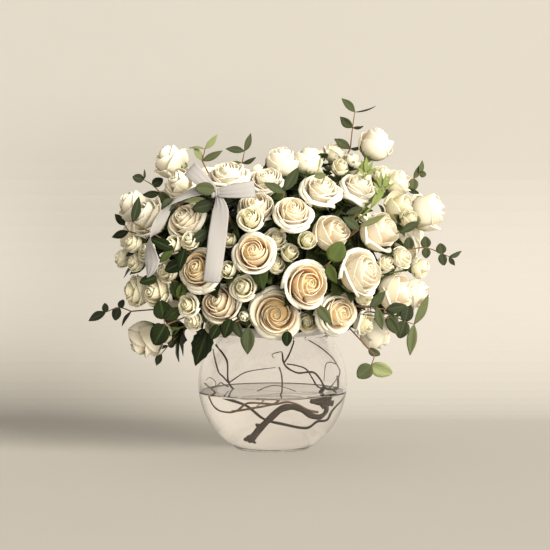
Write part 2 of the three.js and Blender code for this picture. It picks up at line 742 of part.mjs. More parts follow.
// A tail hangs from the knot and bridges the hollows between the blooms like a taut band, turned about its
// length.
function tail({ points: rows, twist, lift }) {
  const line = new THREE.CatmullRomCurve3(rows.map(([across, up]) => new THREE.Vector3(across, 0, up)));
  const places = line.getSpacedPoints(RIBBON.tailSteps);
  const depths = places.map((p) => overBlooms(p.x, p.z, RIBBON.width) - lift);
  depths[0] = bowKnot.y;
  for (let pass = 0; pass < 30; pass++)
    for (let i = 1; i + 1 < depths.length; i++)
      depths[i] = Math.min(depths[i], (depths[i - 1] + depths[i + 1]) / 2);
  const points = places.map((p, i) => seen(p.x, depths[i], p.z));
  const widths = places.map((p, i) => {
    const ahead = alongAt(places, i);
    return ahead.clone().cross(FRONT).applyAxisAngle(ahead, THREE.MathUtils.degToRad(twist));
  });
  return band(points, widths, RIBBON.width);
}

// A loop leaves the knot towards its tip behind and comes back in front, with its width across the line of
// sight.
function loop(degrees, length, depth) {
  const along = heading(degrees);
  const width = heading(degrees + 90);
  const points = Array.from({ length: 7 }, (_, i) => {
    const a = (2 * Math.PI * (i + 0.3)) / 6.6;
    return bowKnot
      .clone()
      .addScaledVector(along, (length * (1 - Math.cos(a))) / 2)
      .addScaledVector(FRONT, -depth * Math.sin(a));
  });
  return band(points, points.map(() => width), RIBBON.width * 0.94);
}

const bowKnot = seen(RIBBON.knot[0], overBlooms(...RIBBON.knot, RIBBON.width) - 9, RIBBON.knot[1]);
const knotForm = solidFrom(new THREE.CapsuleGeometry(9, 6, 2, 6).rotateX(Math.PI / 2));
const knot = facing(knotForm, bowKnot, new THREE.Vector3(1, 0, 0.1).normalize());
const pickEnd = stemEnd(bowKnot);
const pickTop = bowKnot.clone().lerp(pickEnd, 0.04);
const pick = planted([pickTop, pickEnd], [RIBBON.pick, RIBBON.pick], 6);
const loops = [loop(...RIBBON.rightLoop), loop(...RIBBON.leftLoop)];
const bow = union([knot, ...loops, tail(RIBBON.frontTail), tail(RIBBON.leftTail)]);
const pickHole = tube([pickTop, pickEnd], [RIBBON.pick, RIBBON.pick], 6, GAP);
parts.set("bow", { solid: bow.subtract(pickHole), finish: "satin" });
parts.set("bow_pick", { solid: pick, finish: "wood" });

// ---- The bowl, its water and the willow ----------------------------------------------------------------

const inside = BOWL.radius - BOWL.wall;
const acrossAt = (radius, z) => Math.sqrt(radius ** 2 - (z - BOWL.centreZ) ** 2);
const innerWall = spherePoints(inside, BOWL.centreZ, BOWL.floor + 3, BOWL.rimZ - BOWL.lip, 7);
const bowl = lathe(
  [
    [0, 0],
    [acrossAt(BOWL.radius, 0) - 1.5, 0],
    ...spherePoints(BOWL.radius, BOWL.centreZ, 1.5, BOWL.rimZ - BOWL.lip, 8),
    [acrossAt(BOWL.radius, BOWL.rimZ) - BOWL.wall / 2, BOWL.rimZ],
    ...innerWall.toReversed(),
    [innerWall[0][0] - 9, BOWL.floor],
    [0, BOWL.floor],
  ],
  30,
);
parts.set("bowl", { solid: bowl, finish: "glass" });

// The water's side follows the wall's facets, a gap inside them, up to its level.
const under = innerWall.filter(([, z]) => z < WATER_LEVEL);
const [[lowR, lowZ], [highR, highZ]] = [under.at(-1), innerWall[under.length]];
const edge = THREE.MathUtils.lerp(lowR, highR, (WATER_LEVEL - lowZ) / (highZ - lowZ));
const water = lathe(
  [
    [0, BOWL.floor + GAP],
    [innerWall[0][0] - 9 - GAP, BOWL.floor + GAP],
    ...under.map(([r, z]) => [r - 1.3 * GAP, z + GAP / 2]),
    [edge - 1.3 * GAP, WATER_LEVEL],
    [0, WATER_LEVEL],
  ],
  30,
);

// Where a point of the willow really is. A line of sight that meets the bowl above the water goes straight on
// to the point's depth. Below the water's level it bends at the round wall, d' = k d + (k c - s) n with
// s = sqrt(1 - k^2 (1 - c^2)), so what it shows lies nearer the middle than it looks.
const WATER_INDEX = 1.33;
function behindGlass([across, y, up]) {
  const sight = new THREE.Vector3(0, 1, -SIGHT_SLOPE).normalize();
  const start = seen(across, -2 * BOWL.radius, up).sub(new THREE.Vector3(0, 0, BOWL.centreZ));
  const nearest = -start.dot(sight);
  const inSphere = nearest ** 2 - start.lengthSq() + BOWL.radius ** 2;
  if (inSphere < 0) return seen(across, y, up);
  const entry = start.addScaledVector(sight, nearest - Math.sqrt(inSphere));
  if (entry.z + BOWL.centreZ > WATER_LEVEL) return seen(across, y, up);
  const normal = entry.clone().normalize();
  const k = 1 / WATER_INDEX;
  const c = -sight.dot(normal);
  const s = Math.sqrt(1 - k * k * (1 - c * c));
  const bent = sight.clone().multiplyScalar(k).addScaledVector(normal, k * c - s);
  const real = entry.clone().addScaledVector(bent, (y - entry.y) / bent.y);
  return real.add(new THREE.Vector3(0, 0, BOWL.centreZ));
}

const willowSolids = (grow) =>
  Object.fromEntries(
    Object.entries(WILLOW).map(([node, twigs]) => [
      node,
      union(
        twigs.map(({ steps, radii: [thick, thin], points }) => {
          const line = smooth(points.map(behindGlass), steps);
          const radii = line.map((_, i) => THREE.MathUtils.lerp(thick, thin, i / steps));
          return tube(line, radii, thick > 2 ? 6 : 4, grow);
        }),
      ),
    ]),
  );
for (const [node, solid] of Object.entries(willowSolids(0))) parts.set(node, { solid, finish: "willow" });
parts.set("water", { solid: water.subtract(union(Object.values(willowSolids(GAP)))), finish: "water" });

// ---- The dish and the foam -----------------------------------------------------------------------------

const dishZ = BOWL.rimZ + GAP;
const dishFloor = dishZ + DISH.wall;
const dish = lathe(
  [
    [0, dishZ],
    [DISH.spigotRadius - DISH.wall, dishZ],
    [DISH.spigotRadius - DISH.wall, dishZ - DISH.spigotDepth],
    [DISH.spigotRadius, dishZ - DISH.spigotDepth],
    [DISH.spigotRadius, dishZ],
    [DISH.radius, dishZ],
    [DISH.radius + 1.5, dishZ + DISH.height],
    [DISH.radius + 1.5 - DISH.wall, dishZ + DISH.height],
    [DISH.radius - DISH.wall, dishFloor],
    [0, dishFloor],
  ],
  24,
);
parts.set("dish", { solid: dish, finish: "dish" });

const foam = lathe(
  [
    [0, dishFloor + GAP],
    [FOAM.radius, dishFloor + GAP],
    [FOAM.radius, FOAM.topZ - FOAM.shoulder],
    [FOAM.radius - 12, FOAM.topZ - 14],
    [FOAM.radius - 36, FOAM.topZ],
    [0, FOAM.topZ],
  ],
  20,
);
parts.set("foam", { solid: foam.subtract(union(holes)), finish: "foam" });

// ---- Group ---------------------------------------------------------------------------------------------

const FINISHES = {
  glass: { color: 0xe8efee, roughness: 0.03, metalness: 0, transparent: true, opacity: 0.3 },
  water: { color: 0xdfe9e6, roughness: 0.02, metalness: 0, transparent: true, opacity: 0.35 },
  rose: { color: 0xf4ecdc, roughness: 0.6, metalness: 0 },
  eucalyptus: { color: 0x6f7f5c, roughness: 0.6, metalness: 0 },
  leaf: { color: 0x3c5230, roughness: 0.45, metalness: 0 },
  willow: { color: 0x54402f, roughness: 0.8, metalness: 0 },
  foam: { color: 0x36503a, roughness: 0.95, metalness: 0 },
  dish: { color: 0xd9dcd8, roughness: 0.3, metalness: 0 },
  satin: { color: 0xe9e6e4, roughness: 0.35, metalness: 0 },
  wood: { color: 0xa98f62, roughness: 0.8, metalness: 0 },
};

const centrepiece = new THREE.Group();
for (const [name, { solid, finish }] of parts) {
  const { vertProperties, triVerts, numProp } = solid.getMesh();
  const geometry = new THREE.BufferGeometry();
  geometry.setAttribute("position", new THREE.BufferAttribute(new Float32Array(vertProperties), numProp));
  geometry.setIndex(new THREE.BufferAttribute(triVerts, 1));
  const mesh = new THREE.Mesh(geometry, new THREE.MeshStandardMaterial(FINISHES[finish]));
  mesh.name = name;
  centrepiece.add(mesh);
}

export default centrepiece;
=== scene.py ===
"""A floral table centrepiece: white roses, spray roses and eucalyptus in wet foam on a round glass bowl that
holds water and curly willow, and a satin bow. Every flower piece is a surface worked out in millimetres."""

import math

import bpy
import numpy as np
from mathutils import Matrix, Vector


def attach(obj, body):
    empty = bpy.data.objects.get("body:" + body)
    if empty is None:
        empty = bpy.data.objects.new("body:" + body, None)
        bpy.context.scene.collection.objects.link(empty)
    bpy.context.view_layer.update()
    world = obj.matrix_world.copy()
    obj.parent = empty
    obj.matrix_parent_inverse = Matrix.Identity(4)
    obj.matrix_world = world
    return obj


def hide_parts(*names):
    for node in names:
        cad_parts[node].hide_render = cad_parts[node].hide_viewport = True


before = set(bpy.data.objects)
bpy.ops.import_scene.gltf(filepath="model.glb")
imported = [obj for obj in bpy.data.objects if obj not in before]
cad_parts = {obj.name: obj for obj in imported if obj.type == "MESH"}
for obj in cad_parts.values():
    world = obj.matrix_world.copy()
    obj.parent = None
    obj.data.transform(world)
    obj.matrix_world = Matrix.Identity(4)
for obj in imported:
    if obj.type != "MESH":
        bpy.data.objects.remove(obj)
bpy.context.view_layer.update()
MM = 0.001
rng = np.random.default_rng(20)

# ---- Driving dimensions, in millimetres ----

BOWL_RADIUS, BOWL_CENTRE, BOWL_WALL, BOWL_FLOOR, RIM_Z = 100.0, 88.0, 3.5, 6.0, 157.0
FOOT_EDGE, FOOT_HOLLOW, FOOT_RING, FLOOR_INSET = 1.5, 0.9, 12, 9
WATER_LEVEL, HAIR = 77.0, 0.2
DISH_RADIUS, DISH_HEIGHT, DISH_WALL, SPIGOT_RADIUS, SPIGOT_DEPTH = 76.0, 11.0, 2.0, 66.5, 3.0
DOME_ACROSS, DOME_DEEP, DOME_TALL, DOME_CENTRE, DOME_FULLNESS = 214.0, 158.0, 128.0, 268.0, 2.5
BACK_ACROSS, BACK_TALL = 0.88, 0.84
STEM_TARGET = np.array([0.0, 0.0, 200.0])
STEM_END, FORK, FORK_STEP = 46.0, 82.0, 4.0
SIGHT_SLOPE = 0.08
ROSE_STEM, SPRAY_STEM, LEAF_STEM = 2.2, 1.4, 1.1
SMALL_ROSE, SMALL_FULLNESS = 22, 1.12
SMALL_PETAL, LARGE_PETAL, LEAF_THICK, SATIN_THICK = 0.3, 0.45, 0.35, 0.3
ROUND_LEAF = 0.6
CAP_SHARE, HEART_ALONG = 0.02, 0.7
FRONT = np.array([0.0, -1.0, 0.0])

# How the blooms settle: the gap between them, the passes, the share of these that moves mostly in depth,
# how easily it moves each way, and the heights and reaches of the bowl and the foam, which they keep off.
PETAL_GAP, SETTLE_PASSES, DEPTH_SHARE, DEPTH_EASE = 0.8, 400, 0.6, (0.3, 1, 0.3)
KEEP_OFF = ((BOWL_CENTRE, BOWL_RADIUS + 2), (192.0, 84.0))

# Large roses, rose_01 and on, as seen from the front: across, up, radius, how open, how far each stands out
# of the dome, what is added to its facing direction, and how golden its heart is, which also sets how much
# painted shade lies deep in its folds. Then those of roses_top.
ROSES = (
    (6, 184, 34, 1.0, 12, (0, -0.1, 0.1), 1.0), (-22, 260, 28.5, 0.8, 8, (0, 0, 0.05), 0.8),
    (50, 229, 31, 0.7, 6, (0.15, 0, 0), 1.0), (87, 188, 30, 0.95, 4, (0.05, 0, 0), 0.7),
    (-68, 201, 28, 0.65, 2, (0, 0, 0.3), 0.6), (-89, 247, 29, 0.9, -2, (0, 0, 0.1), 1.0),
    (25, 307, 27, 0.9, 6, (0, 0, 0.1), 0.4), (76, 288, 28, 0.45, 2, (0.35, 0, 0.1), 0.4),
    (142, 283, 30, 0.55, 4, (0.3, 0, 0.1), 0.3), (120, 242, 32, 0.65, 8, (0.35, 0, 0.1), 0.3),
    (163, 211, 29, 0.55, 0, (0.3, 0, 0), 0.3), (190, 208, 24, 0.5, -30, (0.1, 0, -0.2), 0.3),
    (207, 318, 30, 0.45, 0, (0.1, 0, 0), 0.3), (134, 408, 26, 0.3, 10, (0.1, 0, 0.4), 0.2),
    (-54, 362, 28, 1.0, -4, (0, 0, 0.3), 0.1), (-135, 382, 26, 0.4, 0, (-0.3, 0, 0.1), 0.1),
    (-118, 346, 25, 0.5, 6, (-0.2, 0, -0.2), 0.1), (-186, 326, 23, 0.4, -30, (-0.2, 0.2, 0), 0.1),
    (-156, 308, 28, 0.6, 0, (-0.2, 0, 0), 0.1), (-118, 302, 26, 0.7, -2, (0, 0, 0), 0.3),
    (-20, 322, 25, 0.7, -8, (0, 0, 0.1), 0.3), (63, 341, 27, 1.0, 2, (0, 0, 0.3), 0.2),
    (108, 346, 26, 0.9, -2, (0, 0, 0.4), 0.2), (-171, 147, 28, 0.4, 40, (0.1, 0, -0.5), 0.2),
    (139, 153, 25, 0.4, 20, (0.1, 0, -0.5), 0.2),
)
TOP_ROSES = (
    (12, 384, 24, 0.3, -20, (0, 0.1, 0.4), 0.2), (47, 386, 23, 0.3, -50, (0, 0.2, 0.4), 0.2),
    (-14, 356, 23, 0.9, -14, (0, 0, 0.3), 0.2),
)

# Sprays of small roses and buds: across, up, radius, how open, how far each stands out of the dome; then
# what is added to the direction of all of them, and their gold, which also sets the painted shade deep in
# their folds.
SPRAYS = {
    "spray_left": (
        (-198, 256, 12, 0.4, 0), (-180, 250, 12, 0.5, 12), (-183, 275, 12, 0.4, 10),
        (-164, 264, 12, 0.6, 14), (-179, 212, 20, 0.5, 0), (-151, 213, 21, 0.5, 2),
    ),
    "spray_left_front": ((-127, 277, 12, 0.3, 10), (-105, 274, 12, 0.4, 8), (-138, 238, 15, 0.6, 4)),
    "spray_low_left": (
        (-111, 195, 14, 0.9, 12), (-105, 174, 13, 0.7, 10), (-74, 167, 13, 0.5, 8),
        (-144, 156, 13, 0.4, 70),
    ),
    "spray_middle": (
        (-54, 246, 11, 0.1, 14), (-40, 217, 16, 0.8, 8), (-37, 181, 7, 0.0, 14), (0, 250, 12, 0.4, 4),
        (21, 262, 12, 0.3, 12),
    ),
    "spray_upper_middle": (
        (44, 282, 12, 0.3, 14), (6, 284, 14, 0.7, 4), (-28, 304, 16, 0.8, 24), (-57, 279, 10, 0.3, 2),
    ),
    "spray_low_right": ((48, 174, 14, 0.6, 8), (114, 203, 13, 0.5, 8), (121, 170, 16, 0.8, 10)),
    "spray_right": ((145, 252, 10, 0.4, 10), (168, 257, 14, 0.4, 12), (195, 243, 14, 0.3, 8)),
    "spray_top_right": (
        (86, 396, 16, 0.6, 0), (109, 390, 11, 0.1, 8), (89, 376, 11, 0.1, 16), (64, 394, 7, 0.0, 6),
    ),
    "spray_upper_right": (
        (164, 357, 19, 0.5, 4), (168, 322, 20, 0.3, 8), (144, 366, 12, 0.1, 14), (175, 308, 12, 0.2, 26),
    ),
}
SPRAY_LOOK = (0, 0, 0), 0.6
REAR_ANGLES, REAR_LATITUDES, REAR_STAGGER = (14, 52, 90, 128, 166), (-33, 8, 50), 9
REAR_RADIUS, REAR_OPENNESS = 36, (0.6, 0.8, 0.7)

# Leaves on a rose's stem: how many, how long, between which shares of its length, how far they lean out.
SPRAY_FOLIAGE = ((3, 24, 0.6, 0.98, 0.9),)
OPEN_FOLIAGE = (9, 42, 0.6, 0.98, 0.9), (7, 62, 0.3, 0.65, 0.2)
CLOSED_FOLIAGE = (9, 42, 0.6, 0.82, 0.9), (7, 62, 0.3, 0.65, 0.2)

# Leafy stems, each at a depth of its own: its twigs as points seen from the front, and each twig's leaves:
# the point it grows from, heading in degrees, length, width, turn of the blade away from the viewer, and
# tone from dark (0) to light (1).
EUCALYPTUS = {
    "eucalyptus_top_right": (
        -4,
        (
            ((104, 403), (107, 431), (110, 452)), (2, 133, 25, 11, 20, 0.3), (2, 8, 29, 7, 70, 0.2),
            (1, 140, 22, 13, -20, 0.3), (1, 5, 15, 9, 60, 0.2), (0, 148, 25, 12, 10, 0.3),
            (0, 2, 16, 8, 50, 0.3),
        ),
    ),
    "eucalyptus_top": (
        -55,
        (
            ((-93, 385), (-89, 401)), (1, 48, 25, 9, 20, 0.9), (1, 172, 22, 6, 60, 0.8),
            (0, 25, 30, 10, 10, 0.35), (0, 120, 22, 10, 30, 0.8),
        ),
        (
            ((-40, 382), (-37, 398)), (1, 68, 25, 10, 30, 0.3), (1, 172, 25, 10, 20, 0.25),
            (0, 195, 22, 11, 10, 0.4), (0, 20, 20, 10, 50, 0.3),
        ),
    ),
    "eucalyptus_left": (
        -18,
        (
            ((-150, 344), (-160, 354), (-172, 361)), (2, 165, 15, 12, 10, 0.1), (2, 80, 14, 6, 60, 0.2),
            (1, 30, 16, 13, 0, 0.0), (0, 190, 24, 12, -30, 0.2), (0, 310, 26, 16, 20, 0.3),
        ),
        (((-192, 292), (-197, 300)), (1, 130, 20, 12, 20, 0.1), (0, 200, 24, 11, 0, 0.05)),
    ),
    "eucalyptus_low_left": (
        -40,
        (
            ((-188, 185), (-204, 190), (-222, 184)), (2, 205, 26, 12, 20, 0.0), (2, 95, 12, 9, 0, 0.05),
            (1, 250, 18, 15, 30, 0.0), (1, 60, 12, 9, 0, 0.0), (0, 235, 24, 9, 60, 0.1),
        ),
        (
            ((-128, 150), (-139, 139), (-148, 128)), (2, 245, 17, 10, 20, 0.05), (1, 20, 10, 9, 0, 0.1),
            (1, 200, 12, 6, 50, 0.0),
        ),
    ),
    "eucalyptus_right": (
        -25,
        (
            ((182, 268), (205, 270), (226, 262), (236, 258)), (3, 20, 18, 9, 40, 0.3),
            (3, 300, 14, 8, 30, 0.3), (2, 100, 14, 14, 0, 0.2), (2, 280, 16, 12, 10, 0.2),
            (1, 95, 15, 14, 0, 0.25), (1, 270, 14, 12, 0, 0.2), (0, 90, 16, 14, 0, 0.2),
        ),
        (
            ((180, 350), (188, 362), (196, 369)), (2, 75, 18, 8, 30, 0.4), (2, 350, 9, 9, 0, 0.3),
            (1, 60, 22, 9, 20, 0.3), (1, 265, 16, 14, 0, 0.4), (0, 100, 22, 8, 20, 0.4),
            (0, 330, 18, 9, 40, 0.3),
        ),
    ),
    "eucalyptus_low_right": (
        -60,
        (
            ((158, 181), (176, 172), (188, 168)), (2, 62, 44, 14, 30, 0.5), (2, 262, 42, 14, 10, 0.6),
            (1, 250, 24, 20, 10, 0.2), (1, 78, 24, 18, 0, 0.1), (0, 275, 20, 18, 10, 0.3),
            (0, 40, 26, 19, 0, 0.1),
        ),
        (
            ((128, 135), (135, 126), (131, 113)), (2, 222, 24, 21, 0, 0.35), (2, 338, 30, 21, 10, 0.95),
            (0, 330, 17, 12, 20, 0.4),
        ),
    ),
}
BROAD_LEAVES = {
    "leaves_left": (
        -136,
        (((-124, 204),), (0, 100, 27, 16, 10, 0.4), (0, 60, 26, 15, 20, 1.0)),
        (
            ((-140, 168), (-142, 176)), (1, 100, 25, 25, 10, 0.15), (1, 30, 30, 17, 20, 0.2),
            (0, 240, 30, 26, 10, 0.1),
        ),
    ),
    "leaves_rim": (
        -97,
        (((-84, 164),), (0, 250, 54, 27, 10, 0.0)),
        (((-31, 166),),),
    ),
    "leaves_right": (
        -184,
        (((72, 248), (76, 252)), (1, 60, 28, 26, 10, 0.8), (0, 290, 28, 16, 30, 0.95)),
    ),
}
SPRIGS = {**EUCALYPTUS, **BROAD_LEAVES}

# Single leaves that lie on the blooms, as seen from the front: foot across and up, tip across and up,
# width, turn and tone, and for one how far forward it is lifted.
LAID_LEAVES = {
    "eucalyptus_left": (
        (-75, 344, -99, 347, 17, 0, 0.35, 20), (-88, 333, -115, 329, 8, 20, 0.9),
        (-128, 331, -143, 317, 16, 10, 0.25), (-78, 326, -103, 319, 17, 0, 0.1),
        (-84, 290, -103, 278, 15, 0, 0.05), (-181, 302, -172, 335, 13, 20, 0.05),
    ),
    "leaves_left": (
        (-128, 267, -158, 281, 15, 10, 0.05), (-129, 267, -147, 250, 11, 20, 0.7),
        (-116, 251, -139, 239, 18, 0, 0.0), (-113, 268, -121, 241, 14, 10, 0.0),
        (-150, 230, -172, 224, 14, 10, 0.1),
    ),
    "eucalyptus_top": (
        (15, 343, 34, 373, 15, 10, 0.2), (15, 340, -10, 354, 12, 20, 0.3), (69, 364, 54, 361, 9, 0, 0.6),
    ),
    "eucalyptus_right": (
        (117, 321, 94, 313, 9, 10, 0.15), (113, 297, 147, 311, 9, 20, 0.7),
        (112, 293, 92, 309, 13, 10, 0.25), (190, 303, 165, 288, 11, 10, 0.2),
    ),
    "eucalyptus_low_right": (
        (58, 195, 77, 169, 14, 0, 0.35), (127, 192, 147, 212, 13, 10, 0.25),
        (136, 192, 142, 162, 12, 10, 0.4), (148, 189, 174, 193, 15, 10, 0.15),
        (151, 177, 163, 157, 15, 10, 0.2),
    ),
    "leaves_rim": (
        (20, 160, 18, 141, 14, 10, 0.1), (-54, 176, -63, 152, 17, 10, 0.1),
        (-70, 168, -80, 150, 15, 0, 0.0),
    ),
}
WAXY_RIM_LEAVES = ((-31, 166, -33, 130, 19, 10, 0.3), (-48, 172, -41, 152, 13, 20, 0.15))

# Light green bracts and bare stems among the sprays, in the same way; all of them are set back.
BRACTS = {
    "spray_top_right": (
        (120, 366, 116, 384, 5, 0, 0.5, -42), (122, 366, 123, 388, 6, 10, 0.5, -40),
        (124, 366, 131, 383, 5, 0, 0.5, -42), (122, 364, 136, 374, 5, 20, 0.5, -38),
        (121, 363, 112, 374, 4, 20, 0.5, -38), (60, 372, 63, 389, 3, 30, 0.5, -20),
    ),
    "spray_upper_right": (
        (128, 322, 143, 349, 7, 0, 0.5, -16), (132, 324, 148, 346, 5, 20, 0.5, -18),
        (141, 347, 135, 364, 4, 0, 0.5, -12), (142, 348, 141, 369, 5, 10, 0.5, -14),
        (144, 348, 148, 367, 4, 0, 0.5, -12), (145, 347, 154, 363, 5, 10, 0.5, -14),
        (145, 345, 159, 353, 4, 20, 0.5, -12), (140, 344, 131, 355, 4, 10, 0.5, -14),
        (138, 339, 132, 348, 3, 20, 0.5, -14),
    ),
}

# The satin bow, as seen from the front. A tail's rows are across, up, how wide the ribbon is gathered, and
# its twist; a loop's numbers are its heading, its length and its depth.
RIBBON_WIDTH, RIBBON_CLEAR = 24.0, 1.4
KNOT, KNOT_PROUD, KNOT_LIFT, KNOT_RADIUS, KNOT_WIDTH = (-73, 340), 20, 9, 6.5, 10.0
FRONT_TAIL = (
    (-73, 341, 2, 20), (-69, 333, 10, 20), (-67, 316, 22, 10), (-71, 283, 24, 0), (-75, 250, 23, 0),
    (-79, 224, 21, 0),
)
LEFT_TAIL = (
    (-77, 341, 8, 50), (-98, 342, 16, 45), (-115, 335, 14, 60), (-128, 328, 18, 78), (-138, 315, 20, 125),
    (-146, 302, 20, 135), (-152, 291, 20, 125), (-158, 280, 18, 84), (-158, 266, 19, 45),
    (-156, 251, 22, 25), (-158, 239, 14, 30), (-162, 230, 2, 40),
)
RIGHT_LOOP, LEFT_LOOP = (6, 50, 9), (137, 46, 9)
TAIL_POINTS, TAUT_PASSES = 61, 2500

# Curly willow: each twig's radius at both ends, then its points (across, depth, up) as seen from the front
# through glass and water.
WATER_INDEX = 1.33
WILLOW = {
    "willow_limb": (
        (
            4.0, 2.6, (-33, -10, 11), (-27, -12, 15), (-17, -14, 27), (-4, -14, 40), (11, -12, 53),
            (25, -10, 56), (38, -10, 53), (51, -12, 45), (63, -12, 43), (71, -12, 50), (73, -12, 62),
            (70, -12, 84),
        ),
        (
            1.2, 1.5, (13, -14, 128), (15, -16, 116), (21, -18, 108), (34, -20, 102), (47, -20, 103),
            (56, -18, 102), (64, -15, 93), (70, -12, 82), (76, -12, 80), (86, -10, 80), (88, -8, 87),
            (87, -8, 98),
        ),
        (0.9, 1.2, (28, -10, 149), (28, -10, 142), (22, -12, 126), (16, -15, 116)),
        (
            0.7, 1.0, (43, -6, 149), (64, -6, 136), (79, -8, 123), (87, -10, 111), (90, -10, 103),
            (87, -8, 90),
        ),
        (
            0.9, 1.1, (19, -17, 114), (32, -24, 112), (45, -24, 107), (53, -20, 95), (60, -14, 84),
            (69, -12, 80),
        ),
        (
            0.7, 0.4, (13, -14, 127), (12, -14, 130), (5, -16, 129), (0, -17, 127), (0, -18, 124),
            (2, -18, 122),
        ),
        (0.7, 0.4, (86, -9, 113), (78, -8, 116), (72, -8, 114), (70, -8, 105), (69, -8, 90)),
        (0.8, 0.5, (75, -12, 80), (82, -10, 88), (88, -10, 97)),
        (3.6, 3.2, (51, -14, 66), (60, -14, 63), (71, -13, 62), (81, -12, 61)),
        (3.0, 4.0, (60, -13, 71), (63, -13, 67), (66, -12, 62), (70, -12, 56)),
        (1.6, 4.4, (-38, -10, 13), (-34, -10, 13), (-29, -12, 15)),
        (1.2, 3.6, (-22, -11, 8), (-26, -11, 11), (-27, -12, 15)),
        (1.0, 3.4, (-22, -14, 34), (-20, -14, 32), (-15, -14, 29)),
    ),
    "willow_twig_left": (
        (
            1.3, 1.1, (-77, 8, 140), (-62, 20, 118), (-60, 24, 90), (-49, 28, 76), (-36, 30, 56),
            (-12, 30, 38), (14, 28, 31), (45, 26, 26), (60, 24, 35), (73, 20, 38), (83, 16, 54),
            (87, 14, 82),
        ),
        (0.9, 1.2, (-80, 2, 134), (-78, 6, 122), (-73, 12, 103), (-67, 18, 96), (-60, 24, 88)),
        (1.0, 0.5, (-60, 24, 87), (-51, 26, 93), (-38, 30, 101), (-20, 32, 105), (4, 32, 108)),
        (0.8, 0.6, (-60, 24, 82), (-65, 16, 85), (-70, 8, 88), (-75, 2, 84), (-83, -4, 81), (-90, -8, 88)),
        (
            0.6, 0.4, (-82, -3, 81), (-78, -4, 83), (-76, -4, 88), (-81, -4, 94), (-86, -4, 95),
            (-89, -5, 91),
        ),
    ),
    "willow_twig_low": (
        (
            1.1, 1.4, (-91, -10, 88), (-86, -18, 72), (-79, -25, 59), (-70, -32, 52), (-56, -38, 50),
            (-46, -42, 53), (-36, -44, 61), (-27, -46, 63), (-10, -46, 62), (3, -46, 61), (19, -46, 64),
            (32, -44, 61), (48, -42, 53), (61, -38, 50),
        ),
        (
            1.4, 1.0, (-54, -38, 51), (-36, -44, 54), (-20, -48, 57), (-4, -48, 60), (6, -48, 64),
            (12, -46, 76), (13, -44, 87), (12, -42, 100), (9, -38, 110),
        ),
        (0.7, 0.5, (-20, -40, 78), (-10, -43, 83), (2, -45, 86), (14, -44, 84), (31, -42, 78)),
        (0.7, 0.5, (-8, -47, 70), (-14, -46, 64), (-22, -45, 57)),
    ),
}


# ---- Meshes ----


def unit(v):
    """v divided by its length, along the last axis."""
    return v / np.maximum(np.linalg.norm(v, axis=-1, keepdims=True), 1e-12)


def facing(direction, roll=0.0):
    """A turn whose third column is the direction, and whose first two are square to it, turned by roll."""
    z = unit(np.asarray(direction, float))
    x = unit(np.cross([0.31, 0.87, 0.38], z))
    y = np.cross(z, x)
    c, s = math.cos(roll), math.sin(roll)
    return np.stack([c * x + s * y, c * y - s * x, z], axis=1)


def circle(sides):
    """Angles once round, evenly spaced."""
    return np.linspace(0, 2 * np.pi, sides, endpoint=False)


def link(name, data):
    """A new object in the scene."""
    thing = bpy.data.objects.new(name, data)
    bpy.context.scene.collection.objects.link(thing)
    return thing


